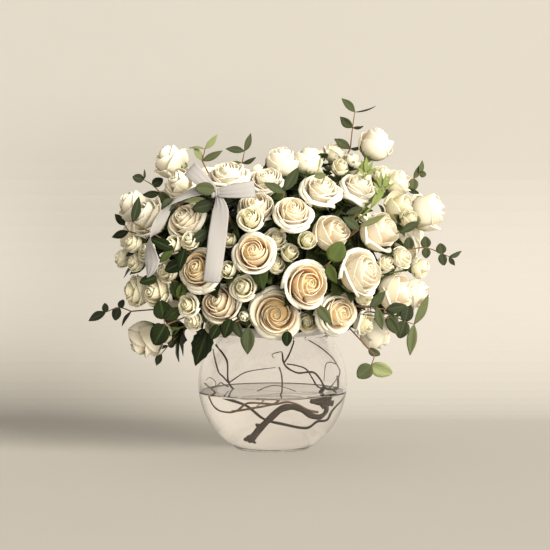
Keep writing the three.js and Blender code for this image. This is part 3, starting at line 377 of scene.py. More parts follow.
class Pile:
    """Sheets and rings gathered into one mesh, with three numbers at each point that the materials read:
    across the sheet, along it, and a tone."""

    def __init__(self):
        self.points, self.faces, self.caps, self.grain, self.count = [], [], [], [], 0

    def add(self, points, faces, u, v, tone):
        grain = np.zeros(points.shape)
        grain[..., 0], grain[..., 1], grain[..., 2] = u, v, tone
        self.points.append(points.reshape(-1, 3))
        self.faces.append(faces + self.count)
        self.grain.append(grain.reshape(-1, 3))
        self.count += len(self.points[-1])

    def sheets(self, p, thickness, tone):
        """Sheets p[sheet, row, column] as closed shells: p moved half the thickness each way along its
        normal, the cross product of its steps along columns and rows, with a strip round the border."""
        n, rows, cols, _ = p.shape
        normal = unit(np.cross(np.gradient(p, axis=2), np.gradient(p, axis=1)))
        both = np.stack([p + normal * thickness / 2, p - normal * thickness / 2], axis=1)
        ids = np.arange(rows * cols).reshape(rows, cols)
        a = ids[:-1, :-1].ravel()
        top = np.stack([a, a + 1, a + cols + 1, a + cols], axis=1)
        under = top[:, ::-1] + rows * cols
        edge = np.concatenate([ids[0, :-1], ids[:-1, -1], ids[-1, :0:-1], ids[:0:-1, 0]])
        after = np.roll(edge, -1)
        strip = np.stack([edge, edge + rows * cols, after + rows * cols, after], axis=1)
        one = np.concatenate([top, under, strip])
        faces = (one[None] + (np.arange(n) * 2 * rows * cols)[:, None, None]).reshape(-1, 4)
        u, v = np.meshgrid(np.linspace(-1, 1, cols), np.linspace(0, 1, rows))
        self.add(both, faces, u, v, np.asarray(tone, float).reshape(-1, 1, 1, 1))

    def rings(self, points, u, v, tone, flip):
        """Rings [ring, side] joined each to the next, with a cap on both ends; flip turns faces over."""
        rows, sides, _ = points.shape
        near = np.arange((rows - 1) * sides).reshape(rows - 1, sides)
        far = np.roll(near, -1, axis=1)
        faces = np.stack([near, far, far + sides, near + sides], axis=-1).reshape(-1, 4)
        caps = [np.arange(sides)[::-1], (rows - 1) * sides + np.arange(sides)]
        if flip:
            faces, caps = faces[:, [0, 3, 2, 1]], [cap[::-1] for cap in caps]
        self.caps += [cap + self.count for cap in caps]
        self.add(points, faces, u, v, tone)

    def tube(self, path, radii, sides, tone=0.5):
        """A ring at each point of the path, square to it, with the ends drawn in to a small closed cap."""
        path = np.asarray(path, float)
        radii = np.broadcast_to(np.asarray(radii, float), (len(path),))
        along = unit(np.gradient(path, axis=0))
        across = unit(np.cross(along, [0.3, 0.5, 0.81]))
        up = np.cross(along, across)
        path, radii, across, up = (np.concatenate([x[:1], x, x[-1:]]) for x in (path, radii, across, up))
        radii[[0, -1]] *= CAP_SHARE
        angle = circle(sides)
        ring = across[:, None] * np.cos(angle)[:, None] + up[:, None] * np.sin(angle)[:, None]
        points = path[:, None] + ring * radii[:, None, None]
        self.rings(points, np.cos(angle), np.linspace(0, 1, len(path))[:, None], tone, flip=False)

    def lathe(self, profile, sides, turn=np.eye(3), place=(0, 0, 0), tone=0.0, flip=False):
        """The profile [radius, height] carried round the turn's third axis, with a tiny ring where it meets
        that axis. On petals all of it has the colour that they have at HEART_ALONG."""
        r, z = np.maximum(profile, [1e-3, -np.inf]).T[..., None, None]
        ring = np.stack([np.cos(circle(sides)), np.sin(circle(sides))], axis=1)
        points = r * (ring @ turn[:, :2].T) + z * turn[:, 2] + place
        self.rings(points, 0.0, HEART_ALONG, tone, flip)

    def piece(self, name, finish, slot, node):
        """The gathered shapes as one object in metres, standing for the CAD node."""
        mesh = bpy.data.meshes.new(name)
        faces = np.concatenate(self.faces).tolist() + [cap.tolist() for cap in self.caps]
        mesh.from_pydata(np.concatenate(self.points) * MM, [], faces)
        mesh.shade_smooth()
        grain = mesh.attributes.new("grain", "FLOAT_VECTOR", "POINT")
        grain.data.foreach_set("vector", np.concatenate(self.grain).ravel())
        mesh.validate()
        mesh.materials.append(finish)
        thing = link(name, mesh)
        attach(thing, "root")
        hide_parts(node)
        return thing


# ---- Where the blooms stand ----


def seen(across, y, up):
    """A point at depth y that the front view shows at this place."""
    return np.array([across, y, up - SIGHT_SLOPE * y], float)


def on_dome(across, up, proud):
    """The dome's front: |x/A|^p + |y/D|^p + |(z - C)/T|^p = 1, and proud in front of it."""
    p = DOME_FULLNESS
    left = 1 - abs(across / DOME_ACROSS) ** p - abs((up - DOME_CENTRE) / DOME_TALL) ** p
    return seen(across, -DOME_DEEP * max(0.0, left) ** (1 / p) - proud, up)


def round_dome(angle, latitude):
    """The dome's back, a little smaller, by angle round the vertical and latitude."""
    turn, lift = math.radians(angle), math.radians(latitude)
    x = DOME_ACROSS * BACK_ACROSS * math.cos(lift) * math.cos(turn)
    y = DOME_DEEP * math.cos(lift) * math.sin(turn)
    return np.array([x, y, DOME_CENTRE + DOME_TALL * BACK_TALL * math.sin(lift)])


class Bloom:
    """One flower head: where its middle is, which way it faces, and the stem that carries it."""

    def __init__(self, node, place, radius, openness, stem, lean=(0, 0, 0), gold=0.2):
        self.node, self.place, self.radius, self.openness = node, place, radius, openness
        self.stem, self.lean, self.gold, self.root = stem, np.array(lean, float), gold, STEM_TARGET
        self.small = radius < SMALL_ROSE

    def out(self):
        return unit(self.place - self.root)

    def direction(self):
        return unit(self.out() + self.lean)


def all_blooms():
    """Every bloom in the order of the tables, then those of the back."""
    rows = [(f"rose_{i:02d}", row) for i, row in enumerate(ROSES, 1)]
    rows += [("roses_top", row) for row in TOP_ROSES]
    rows += [(node, row) for node, spray in SPRAYS.items() for row in spray]
    found = []
    for node, (across, up, radius, openness, proud, *look) in rows:
        stem = ROSE_STEM if look else SPRAY_STEM
        found.append(Bloom(node, on_dome(across, up, proud), radius, openness, stem, *(look or SPRAY_LOOK)))
    for column, angle in enumerate(REAR_ANGLES, 1):
        for row, latitude in enumerate(REAR_LATITUDES):
            place = round_dome(angle + REAR_STAGGER * (row - 1), latitude)
            node = f"rear_roses_{column}"
            found.append(Bloom(node, place, REAR_RADIUS - row, REAR_OPENNESS[row], ROSE_STEM))
    return found


def fork_stems(blooms):
    """The blooms by node. Those of one node part one after another from a main stem outside the foam."""
    groups = {}
    for b in blooms:
        groups.setdefault(b.node, []).append(b)
    for group in groups.values():
        if len(group) == 1:
            continue
        mean = unit(sum(unit(b.place - STEM_TARGET) for b in group))
        for i, b in enumerate(group):
            b.root = STEM_TARGET + mean * (FORK + FORK_STEP * i)
    return groups


def settle(blooms, stalks):
    """Each pass moves all blooms off their neighbours, off the straight stems between them, and off the
    bowl and the foam; at first mostly in depth, so that they stay where they are seen."""
    place = np.array([b.place for b in blooms])
    radius = np.array([b.radius for b in blooms], float)
    tip = np.concatenate([place, stalks])
    root = np.concatenate([[b.root for b in blooms], np.tile(STEM_TARGET, (len(stalks), 1))])
    size = np.concatenate([radius, np.zeros(len(stalks))])
    stem = np.concatenate([[b.stem for b in blooms], np.full(len(stalks), LEAF_STEM)])
    count = len(blooms)
    other = ~np.eye(count, len(tip), dtype=bool)
    for step in range(SETTLE_PASSES):
        ease = np.array(DEPTH_EASE) if step < SETTLE_PASSES * DEPTH_SHARE else np.ones(3)
        moves = np.zeros_like(place)
        apart = place[:, None] - tip[None]
        far = np.linalg.norm(apart, axis=2)
        short = np.where(other & (size > 0), radius[:, None] + size + PETAL_GAP - far, 0)
        push = np.maximum(short, 0) / 2
        moves += (apart / np.maximum(far, 1e-9)[..., None] * push[..., None]).sum(axis=1)
        line = tip - root
        rel = place[:, None] - root[None]
        t = np.clip((rel * line).sum(axis=2) / (line**2).sum(axis=1), 0, 1)
        off = rel - t[..., None] * line
        gap = np.linalg.norm(off, axis=2)
        close = np.where(other, np.maximum(radius[:, None] + stem + PETAL_GAP - gap, 0), 0)
        away = off / np.maximum(gap, 1e-9)[..., None] * close[..., None] / 2
        moves += away.sum(axis=1)
        moves -= (away * t[..., None])[:, :count].sum(axis=0)
        for height, reach in KEEP_OFF:
            rel = place - [0, 0, height]
            d = np.linalg.norm(rel, axis=1)
            moves += rel / d[:, None] * np.maximum(radius + reach - d, 0)[:, None]
        place = place + moves * ease * 0.5
        tip[:count] = place
    for b, p in zip(blooms, place):
        b.place = p


# ---- Roses ----


def bezier(points, t):
    """The cubic curve through weights (1-t)^3, 3t(1-t)^2, 3t^2(1-t), t^3 of its four points."""
    a, b, c, d = points
    s = 1 - t
    return a * s**3 + 3 * b * t * s**2 + 3 * c * t**2 * s + d * t**3


# A petal's age runs from 0 in the heart to 1 at the guard petals. At these ages: where its rim (out and up)
# and its belly are, as shares of the bloom's radius, on a closed and on an open bloom, half the angle it
# wraps round, how far its rim rolls back, and how far one side lies over its neighbour.
AGES = (0.0, 0.25, 0.4, 0.6, 0.8, 1.0)
BUD_RIM = (0.03, 0.15, 0.27, 0.42, 0.6, 0.82), (0.84, 0.87, 0.88, 0.82, 0.7, 0.46)
OPEN_RIM = (0.02, 0.3, 0.44, 0.64, 0.86, 1.08), (0.62, 0.64, 0.62, 0.52, 0.34, 0.06)
BUD_BELLY, OPEN_BELLY = (0.12, 0.3, 0.5, 0.7, 0.88, 1.0), (0.14, 0.36, 0.5, 0.56, 0.62, 0.66)
WRAP, ROLL = (1.6, 1.25, 1.15, 1.1, 1.0, 0.95), (0.0, 0.03, 0.06, 0.09, 0.12, 0.15)
LAP = (0.3, 0.2, 0.15, 0.1, 0.07, 0.05)
# The whorls of each kind of bloom: how many petals, and the ages from the first of them to the last.
WHORLS = {
    "hero": ((8, 0, 0.3), (4, 0.37, 0.42), (4, 0.5, 0.56), (4, 0.66, 0.72), (5, 0.82, 0.87), (5, 0.96, 1)),
    "large": ((7, 0, 0.28), (3, 0.37, 0.42), (4, 0.54, 0.6), (4, 0.76, 0.82), (5, 0.96, 1)),
    "cup": ((5, 0, 0.27), (3, 0.4, 0.46), (3, 0.66, 0.74), (3, 0.95, 1)),
    "small": ((5, 0, 0.28), (3, 0.4, 0.46), (4, 0.68, 0.76), (5, 0.95, 1)),
    "bud": ((2, 0, 0.2), (3, 0.45, 0.5), (3, 0.9, 1)),
}
# The closed middle of a bloom, as a profile in shares of its radius.
HEART = ((0, 0), (0.1, -0.01), (0.22, -0.06), (0.36, -0.17), (0.5, -0.26), (0.55, -0.5), (0.2, -1.0))


def petals(b, kind, rows, cols):
    """A bloom's petals as sheets [petal, row, column], in whorls, evenly round the axis in all but the
    first. Along v a petal follows a cubic from the bloom's foot over its belly to the rim: closed petals run
    up, open ones flare outwards. Across it wraps round the axis, wider near the rim, with a round outline,
    and one side lies over its neighbour. The last part rolls back, most at the corners."""
    spans = WHORLS[kind]
    age = np.concatenate([np.linspace(start, end, n) for n, start, end in spans]).reshape(-1, 1, 1)
    angles = [np.arange(n) * 2 * np.pi / n + 1.1 * i for i, (n, _, _) in enumerate(spans)]
    angles[0] = np.arange(spans[0][0]) * 2.3
    wobble = rng.normal(size=(8, len(age), 1, 1))
    across = np.linspace(-1, 1, cols).reshape(1, 1, -1)
    v = (1 - (1 - np.linspace(0, 1, rows)) ** 1.5).reshape(1, -1, 1)

    def aged(numbers):
        return np.interp(age, AGES, numbers)

    def mixed(bud, opened):
        return aged(bud) * (1 - b.openness) + aged(opened) * b.openness

    loose = 0.3 + 0.7 * b.openness
    rim_r = mixed(BUD_RIM[0], OPEN_RIM[0]) * (1 + 0.05 * wobble[0])
    rim_z = mixed(BUD_RIM[1], OPEN_RIM[1]) + 0.03 * wobble[1]
    belly = mixed(BUD_BELLY, OPEN_BELLY)
    flare = b.openness * age
    round_off = (0.05 + 0.2 * age) * np.abs(across) ** (2.4 - 0.8 * age)
    reach = v * (1 - round_off)
    r = bezier((0.1, belly * 1.1, belly * (1.02 + 0.1 * flare), rim_r), reach)
    z = bezier((-0.8, -0.85, rim_z - 0.42 + 0.5 * flare, rim_z), reach)
    past = np.clip((v - 0.72) / 0.28, 0, 1)
    roll = aged(ROLL) * (0.5 + 0.6 * b.openness) * (1 + 0.25 * wobble[2])
    corner = 1 + 1.2 * loose * np.abs(across) ** 2
    r = r + roll * (past * 0.6 - 0.2 * past**3)
    z = z - roll * 1.5 * past**2.4 * corner
    z = z + 0.025 * loose * np.sin(2.2 * np.pi * across + 3 * wobble[3]) * past * age
    r = r + 0.03 * loose * np.sin(2.6 * across + 3 * wobble[4]) * v**2 * age
    widen = 0.3 + 0.7 * np.sin(np.pi / 2 * np.clip(v / 0.7, 0, 1))
    half = aged(WRAP) * (1.25 - 0.25 * b.openness) * (1 + 0.06 * wobble[5]) * widen
    r = r * (1 + aged(LAP) * across)
    angle = (np.concatenate(angles) + 0.09 * wobble[6, :, 0, 0]).reshape(-1, 1, 1) + half * across
    slip = 0.015 + 0.11 * age * (1 - age)
    x = r * np.cos(angle) + slip * wobble[7]
    y = r * np.sin(angle) + slip * wobble[6]
    p = np.stack([x, y, z + 0 * across], axis=-1)
    p = p * np.minimum(1, 1.1 / np.linalg.norm(p, axis=-1, keepdims=True))
    return p * b.radius, age.ravel()


def add_head(pile, b, turn):
    """A rose's petals, more and finer on a larger one, round its closed middle. Their tone is the heart's
    gold together with the painted shade deep in its folds, and is gone by the guard petals."""
    if b.small:
        kind = "bud" if b.openness < 0.35 else "small"
        rows, cols, thickness, fullness = 8, 7, SMALL_PETAL, SMALL_FULLNESS
    else:
        kind = "hero" if b.openness > 0.8 else "large" if b.openness > 0.55 else "cup"
        rows, cols, thickness, fullness = 12, 11, LARGE_PETAL, 1.0
    sheets, age = petals(b, kind, rows, cols)
    tone = b.gold * np.clip(1.3 - 1.3 * age, 0, 1) + rng.uniform(0, 0.05, len(age))
    pile.sheets(sheets * fullness @ turn.T + b.place, thickness, tone)
    top, wide = 0.7 - 0.26 * b.openness, 0.5 + 0.5 * b.openness
    pile.lathe((np.array(HEART) * [wide, 1] + [0, top]) * b.radius, 16, turn, b.place, b.gold, flip=True)


def sepals(b, count, reach):
    """Pointed green sheets from under the bloom, up its side to reach, narrowing to their tips."""
    v = np.linspace(0, 1, 7).reshape(1, -1, 1)
    u = np.linspace(-1, 1, 3).reshape(1, 1, -1)
    spread = rng.uniform(0.9, 1.15, (count, 1, 1))
    r = 0.16 + (0.82 * np.sin(v * np.pi / 2 * 1.1)) * (0.5 + 0.5 * reach) * spread + 0 * u
    z = -0.86 + (0.3 + 0.75 * reach) * v**1.3 + 0 * u + 0 * spread
    half = 0.42 * (1 - v) ** 0.7 * (1 + 0.5 * np.sin(np.pi * v)) + 0.015
    angle = (np.arange(count) * 2 * np.pi / count).reshape(-1, 1, 1) + half * u
    return np.stack([r * np.cos(angle), r * np.sin(angle), z - 0.05 * np.abs(u)], axis=-1) * b.radius


def around(turn, spin):
    """Directions square to the turn's third axis, at these angles round it."""
    return np.cos(spin)[:, None] * turn[:, 0] + np.sin(spin)[:, None] * turn[:, 1]


def add_bracts(pile, b, turn):
    """Four narrow green bracts that stand round a small rose's stem below its hip."""
    side = around(turn, rng.uniform(0, 2 * np.pi, 4))
    foot = b.place - turn[:, 2] * b.radius * rng.uniform(1.3, 1.9, (4, 1))
    along = unit(turn[:, 2] + side * rng.uniform(0.3, 0.9, (4, 1)))
    length = rng.uniform(10, 19, 4)
    pile.sheets(leaf_sheets(foot, along, side, length, 4.0, shape="long", rows=6, cols=3), 0.3, 0.5)


def add_calyx(pile, b, turn):
    """The hip under the bloom, its sepals and the stem down to where it ends."""
    axis = b.direction()
    reach = np.interp(b.radius, (12, SMALL_ROSE), (1.0 - 0.6 * b.openness, 0.35))
    pile.sheets(sepals(b, 5, reach) @ turn.T + b.place, LEAF_THICK, rng.uniform(0.35, 0.65, 5))
    if b.small:
        add_bracts(pile, b, turn)
    hip = [b.place + axis * b.radius * h for h in (-0.72, -0.84, -0.96, -1.08)]
    pile.tube(hip, np.array([0.14, 0.2, 0.19, 0.1]) * b.radius, 10, 0.5)
    end = STEM_TARGET + b.out() * STEM_END if b.root is STEM_TARGET else b.root
    neck, below = b.place - axis * b.radius, b.place - b.out() * 1.2 * b.radius
    t = np.linspace(0, 1, 7)[:, None]
    pile.tube(np.concatenate([[neck], below * (1 - t) + end * t]), b.stem * 0.85, 8, 0.4)


# ---- Leaves ----


def leaf_sheets(foot, along, face, length, width, shape="rose", rows=11, cols=5):
    """Leaf blades [leaf, row, column] from arrays of feet, directions, faces, lengths and widths. Half the
    width follows sin(pi t^q) with t along the leaf, saw-toothed on a rose leaf; the blade folds up from its
    rib and droops back with the square of t."""
    foot, along, face = (np.atleast_2d(x) for x in (foot, along, face))
    n = len(foot)
    length, width = (np.reshape(x, (-1, 1, 1, 1)) for x in (length, width))
    along = unit(along)
    across = unit(np.cross(face, along))
    up = np.cross(along, across)
    along, across, up = (x[:, None, None, :] for x in (along, across, up))
    t = np.linspace(0, 1, rows).reshape(1, -1, 1, 1)
    u = np.linspace(-1, 1, cols).reshape(1, 1, -1, 1)
    q, blunt = {"rose": (0.78, 1.0), "round": (0.82, 0.55), "long": (0.9, 0.9)}[shape]
    wide = np.sin(np.pi * np.clip(t, 0.012, 0.988) ** q) ** blunt
    if shape == "rose":
        wide = wide * (1 + 0.12 * (np.arange(rows).reshape(1, -1, 1, 1) % 2))
    fold = 0.16 * width * np.abs(u) * wide
    bend = 0.1 * rng.uniform(0.5, 1.5, (n, 1, 1, 1)) * length
    wave = 0.03 * width * np.sin(7 * t + rng.uniform(0, 6, (n, 1, 1, 1))) * np.abs(u)
    p = foot[:, None, None, :] + along * t * length + across * u * wide * width / 2
    return p + up * (fold + wave - bend * t**2)


def clear_of(sheets, blooms):
    """Which sheets keep out of the middles of all blooms and do not hang in front of the bowl."""
    place = np.array([b.place for b in blooms])
    reach = np.array([b.radius for b in blooms]) * 0.82
    far = np.linalg.norm(sheets.reshape(len(sheets), -1, 1, 3) - place, axis=3)
    beside = (sheets[..., 2] > RIM_Z + 3) | (np.abs(sheets[..., 0]) > BOWL_RADIUS + 8)
    return (far > reach).all(axis=(1, 2)) & beside.all(axis=(1, 2))


def stem_leaves(pile, b, blooms, count, length, low, high, lean):
    """Leaves up a rose's stem between two shares of its length: they stand out round it and lean outwards
    with it. Four times the count are tried, and those that would cut into a bloom are left out; where fewer
    than two are clear, the lowest two tries stay."""
    out = b.out()
    tries = 4 * count
    reach = np.linalg.norm(b.place - b.root)
    side = around(facing(out), rng.uniform(0, 2 * np.pi) + np.arange(tries) * 2.4)
    along = unit(out * rng.uniform(0.3, 1.0, (tries, 1)) * lean + side)
    at = np.linspace(high, low, tries)[:, None] * (reach - b.radius * 0.85)
    sizes = length * rng.uniform(0.75, 1.15, tries)
    widths = sizes * rng.uniform(0.5, 0.66, tries)
    sheets = leaf_sheets(b.root + out * at, along, out + 0.3 * side, sizes, widths, rows=8, cols=3)
    chosen = sheets[clear_of(sheets, blooms)][:count]
    if len(chosen) < 2:
        chosen = sheets[-2:]
    pile.sheets(chosen, LEAF_THICK, rng.uniform(0.0, 0.8, len(chosen)))


def smooth_line(points, count):
    """A Catmull-Rom curve through the points, at evenly spaced values: on each span half of
    (2 p1 + (p2 - p0) t + (2 p0 - 5 p1 + 4 p2 - p3) t^2 + (3 p1 - p0 - 3 p2 + p3) t^3)."""
    p = np.asarray(points, float)
    p = np.concatenate([[2 * p[0] - p[1]], p, [2 * p[-1] - p[-2]]])
    at = np.linspace(0, len(points) - 1 - 1e-9, count)
    i, t = at.astype(int), (at % 1)[:, None]
    a, b, c, d = p[i], p[i + 1], p[i + 2], p[i + 3]
    return 0.5 * (2 * b + (c - a) * t + (2 * a - 5 * b + 4 * c - d) * t**2 + (3 * b - a - 3 * c + d) * t**3)


def heading(degrees):
    """A direction seen from the front: 0 degrees points across to the right, 90 up."""
    a = math.radians(degrees)
    return np.array([math.cos(a), 0, math.sin(a)])


def toward(place, reach):
    """The point this far from the foam's middle on the line to a place."""
    return STEM_TARGET + unit(place - STEM_TARGET) * reach


def add_leaf(pile, foot, along, length, width, turn, tone, narrow):
    """One blade that faces the viewer, turned about its length; narrow names its shape if it isn't round."""
    a = math.radians(turn)
    face = math.cos(a) * FRONT + math.sin(a) * np.cross(along, FRONT)
    shape = "round" if width > ROUND_LEAF * length else narrow
    blade = leaf_sheets(foot, along, face, length, width, shape)
    pile.sheets(blade, LEAF_THICK, rng.uniform(tone, tone + 0.05, 1))


def at_depth(line, depth):
    """A twig's points, all at one depth."""
    return np.array([seen(across, depth, up) for across, up in line])


def add_sprig(blades, stems, depth, twigs, narrow):
    """A leafy stem's twigs, which part outside the foam, and the leaves that grow from their points."""
    first = at_depth(twigs[0][0], depth)[0]
    root = toward(first, STEM_END)
    for line, *leaves in twigs:
        points = at_depth(line, depth)
        base = points[0] + (root - points[0]) * np.linspace(1, 0, 5)[:-1, None]
        path = np.concatenate([base, smooth_line(points, 4 * len(points)) if len(points) > 1 else points])
        stems.tube(path, np.linspace(LEAF_STEM, LEAF_STEM * 0.55, len(path)), 8)
        for k, degrees, length, width, turn, tone in leaves:
            add_leaf(blades, points[k], heading(degrees), length, width, turn, tone, narrow)
        root = toward(first, FORK)


def over_blooms(blooms, across, up, width):
    """How far forward something this wide lies where it crosses the blooms, as seen from the front."""
    place = np.array([b.place for b in blooms])
    reach = np.array([b.radius for b in blooms]) + RIBBON_CLEAR
    beside = np.hypot(place[:, 0] - across, place[:, 2] + SIGHT_SLOPE * place[:, 1] - up) - width / 2
    beside = np.maximum(beside, 0)
    deep = np.where(beside < reach, np.sqrt(np.maximum(reach**2 - beside**2, 0)), -reach)
    return (place[:, 1] - deep).min()


def lay_leaves(blades, stems, blooms, rows):
    """Single leaves laid over the blooms, each with a thin stalk that goes in to the foam."""
    for x0, z0, x1, z1, width, turn, tone, *lift in rows:
        y = over_blooms(blooms, (x0 + x1) / 2, (z0 + z1) / 2, width / 2) - sum(lift)
        foot, tip = seen(x0, y + 2, z0), seen(x1, y - 1, z1)
        length = np.linalg.norm(tip - foot)
        add_leaf(blades, foot, unit(tip - foot), length, width, turn, tone, "long")
        stems.tube(np.linspace(foot, toward(foot, STEM_END), 4), LEAF_STEM * 0.6, 6)


# ---- Bow ----


def ribbon_band(path, width_way, width, bow, cut):
    """A band of satin as a sheet [1, row, column]: across it the width's direction at each point, with a
    shallow bow and fine waves along it, and pleats where it is gathered narrower; cut slants its end."""
    along = unit(np.gradient(path, axis=0))
    across = unit(width_way - along * (width_way * along).sum(axis=1, keepdims=True))
    out = np.cross(across, along)
    u = np.linspace(-1, 1, 13)[None, :, None]
    t = np.linspace(0, 1, len(path))[:, None, None]
    width = np.broadcast_to(np.reshape(width, (-1, 1, 1)), (len(path), 1, 1))
    gather = np.clip(1 - width / RIBBON_WIDTH, 0, 0.8)
    pleats = 1.1 * gather * np.cos(3 * np.pi * u + 2)
    p = path[:, None] + across[:, None] * u * width / 2
    p = p + out[:, None] * (width * (bow * (1 - u**2) + 0.02 * np.sin(9 * t + 2 * u)) + pleats)
    return (p + along[:, None] * cut * u * np.clip(t * 6 - 5, 0, 1))[None]


def ribbon_loop(knot, degrees, length, depth):
    """A loop that leaves the knot behind and comes back in front, an ellipse in the plane of its heading
    and depth: its path, the direction of its width, and its width, pinched at the knot."""
    a = 2 * np.pi * (np.linspace(0, 6, 41) + 0.3) / 6.6
    path = knot + np.outer(length * (1 - np.cos(a)) / 2, heading(degrees))
    path = path + np.outer(depth * np.sin(a), -FRONT)
    pinch = 0.25 + 0.65 * np.sin(np.linspace(0, np.pi, len(path))) ** 0.7
    return path, np.tile(heading(degrees + 90), (len(path), 1)), RIBBON_WIDTH * pinch


def tail_line(blooms, rows, lift, knot):
    """A tail's middle: through its points as seen, as far forward as the blooms make it, taut over the
    hollows between them: each point goes to the middle of its neighbours where that is further forward."""
    line = smooth_line([(across, 0, up) for across, up, _, _ in rows], TAIL_POINTS)
    depth = np.array([over_blooms(blooms, p[0], p[2], RIBBON_WIDTH / 2) for p in line]) - lift
    depth[0] = knot[1]
    for _ in range(TAUT_PASSES):
        depth[1:-1] = np.minimum(depth[1:-1], (depth[:-2] + depth[2:]) / 2)
    return np.array([seen(p[0], y, p[2]) for p, y in zip(line, depth)])


def ribbon_tail(blooms, rows, lift, knot):
    """A tail's path, the direction of its width at each point of it, and its width."""
    path = tail_line(blooms, rows, lift, knot)
    ahead = unit(np.gradient(path * [1, 0, 1], axis=0))
    flat = np.cross(ahead, FRONT)
    at, rows_at = np.linspace(0, 1, len(path)), np.linspace(0, 1, len(rows))
    twist = np.radians(np.interp(at, rows_at, [row[3] for row in rows]))[:, None]
    width = np.interp(at, rows_at, [row[2] for row in rows])
    return path, flat * np.cos(twist) + np.cross(ahead, flat) * np.sin(twist), width


def knot_wrap(knot):
    """The knot's strip, wound almost once round it: its path, the direction of its width, and its width."""
    a = np.linspace(0, 2 * np.pi * 0.96, 25)
    path = knot + np.stack([0.5 * np.cos(a), KNOT_RADIUS * np.cos(a), KNOT_RADIUS * np.sin(a)], axis=1)
    return path, np.tile([1.0, 0, 0.1], (len(path), 1)), KNOT_WIDTH


def make_bow(blooms):
    """The bow: two loops, two tails and a wrapped knot, each a sheet of satin. A row is its band, how far
    the band bows, the slant of its end, its width when flat, how it is held and what it rests on."""
    knot = seen(KNOT[0], over_blooms(blooms, *KNOT, RIBBON_WIDTH) - KNOT_LIFT, KNOT[1])
    on_rose = ["rose_06", "bow_pick"]
    rows = {
        "bow_loop_right": (ribbon_loop(knot, *RIGHT_LOOP), 0.05, 0.0, 0.024, "hung", on_rose),
        "bow_loop_left": (ribbon_loop(knot, *LEFT_LOOP), 0.05, 0.0, 0.024, "hung", on_rose),
        "bow_tail_front": (ribbon_tail(blooms, FRONT_TAIL, 0, knot), 0.04, 1.0, 0.024, "hung", on_rose),
        "bow_tail_left": (ribbon_tail(blooms, LEFT_TAIL, 7, knot), 0.04, 0.0, 0.024, "hung", on_rose),
        "bow_knot": (knot_wrap(knot), 0.12, 0.0, 0.015, "gathered", ["bow_pick"]),
    }
    for name, (band, bow, cut, flat_width, held, rests_on) in rows.items():
        pile = Pile()
        pile.sheets(ribbon_band(*band, bow, cut), SATIN_THICK, 0.5)
        piece = pile.piece(name, SATIN, "satin", "bow")


# ---- Bowl, water, dish and willow ----


def side_at(radius, z):
    """How far out a ball's side is at a height: sqrt(R^2 - (z - centre)^2)."""
    return math.sqrt(radius**2 - (z - BOWL_CENTRE) ** 2)


def sphere_side(radius, low, high, count):
    """Points of the bowl's round side between two heights, evenly spaced by angle."""
    low, high = (np.arcsin((z - BOWL_CENTRE) / radius) for z in (low, high))
    return [(radius * np.cos(a), BOWL_CENTRE + radius * np.sin(a)) for a in np.linspace(low, high, count)]


def half_round(centre, radius, count):
    """Half a circle of a profile, from its outside over its top to its inside."""
    angle = np.radians(np.linspace(0, 180, count))
    return [(centre[0] + radius * math.cos(a), centre[1] + radius * math.sin(a)) for a in angle]


def bowl_profile():
    """The bowl's closed wall: flat foot, round outside, rounded lip, inside, floor."""
    inner, lip_z = BOWL_RADIUS - BOWL_WALL, RIM_Z - BOWL_WALL / 2
    out, into = side_at(BOWL_RADIUS, lip_z), side_at(inner, lip_z)
    lip = [(r, min(z, RIM_Z)) for r, z in half_round(((out + into) / 2, lip_z), (out - into) / 2, 9)[1:-1]]
    foot = side_at(BOWL_RADIUS, FOOT_EDGE)
    under = [(0, FOOT_HOLLOW), (foot - FOOT_RING, FOOT_HOLLOW)]
    under += [(foot - FOOT_RING / 2, 0), (foot - FOOT_EDGE, 0)]
    side = sphere_side(inner, BOWL_FLOOR + 3, lip_z, 40)[::-1]
    floor = [(side[-1][0] - FLOOR_INSET, BOWL_FLOOR), (0, BOWL_FLOOR)]
    return under + sphere_side(BOWL_RADIUS, FOOT_EDGE, lip_z, 40) + lip + side + floor


def water_profile():
    """The water: it reaches a hair into the glass, and its level rises a little at the wall."""
    side = sphere_side(BOWL_RADIUS - BOWL_WALL + HAIR, BOWL_FLOOR + 3 + HAIR, WATER_LEVEL + 1.0, 30)
    edge, bed = side[-1][0], BOWL_FLOOR - HAIR
    level = [(edge - 0.9, WATER_LEVEL + 0.35), (edge - 2.2, WATER_LEVEL + 0.08), (edge - 4, WATER_LEVEL)]
    return [(0, bed), (side[0][0] - FLOOR_INSET, bed)] + side + level + [(0, WATER_LEVEL)]


def dish_profile():
    """The frosted dish that holds the foam: a ring that sits in the bowl's rim, a base and a low wall."""
    z = RIM_Z + 0.3
    spigot = SPIGOT_RADIUS - DISH_WALL
    ring = [(0, z), (spigot, z), (spigot, z - SPIGOT_DEPTH), (SPIGOT_RADIUS, z - SPIGOT_DEPTH)]
    ring += [(SPIGOT_RADIUS, z), (DISH_RADIUS, z)]
    brim = half_round((DISH_RADIUS + 0.5, z + DISH_HEIGHT - 1), 1.0, 5)
    return ring + brim + [(DISH_RADIUS - DISH_WALL, z + DISH_WALL), (0, z + DISH_WALL)]


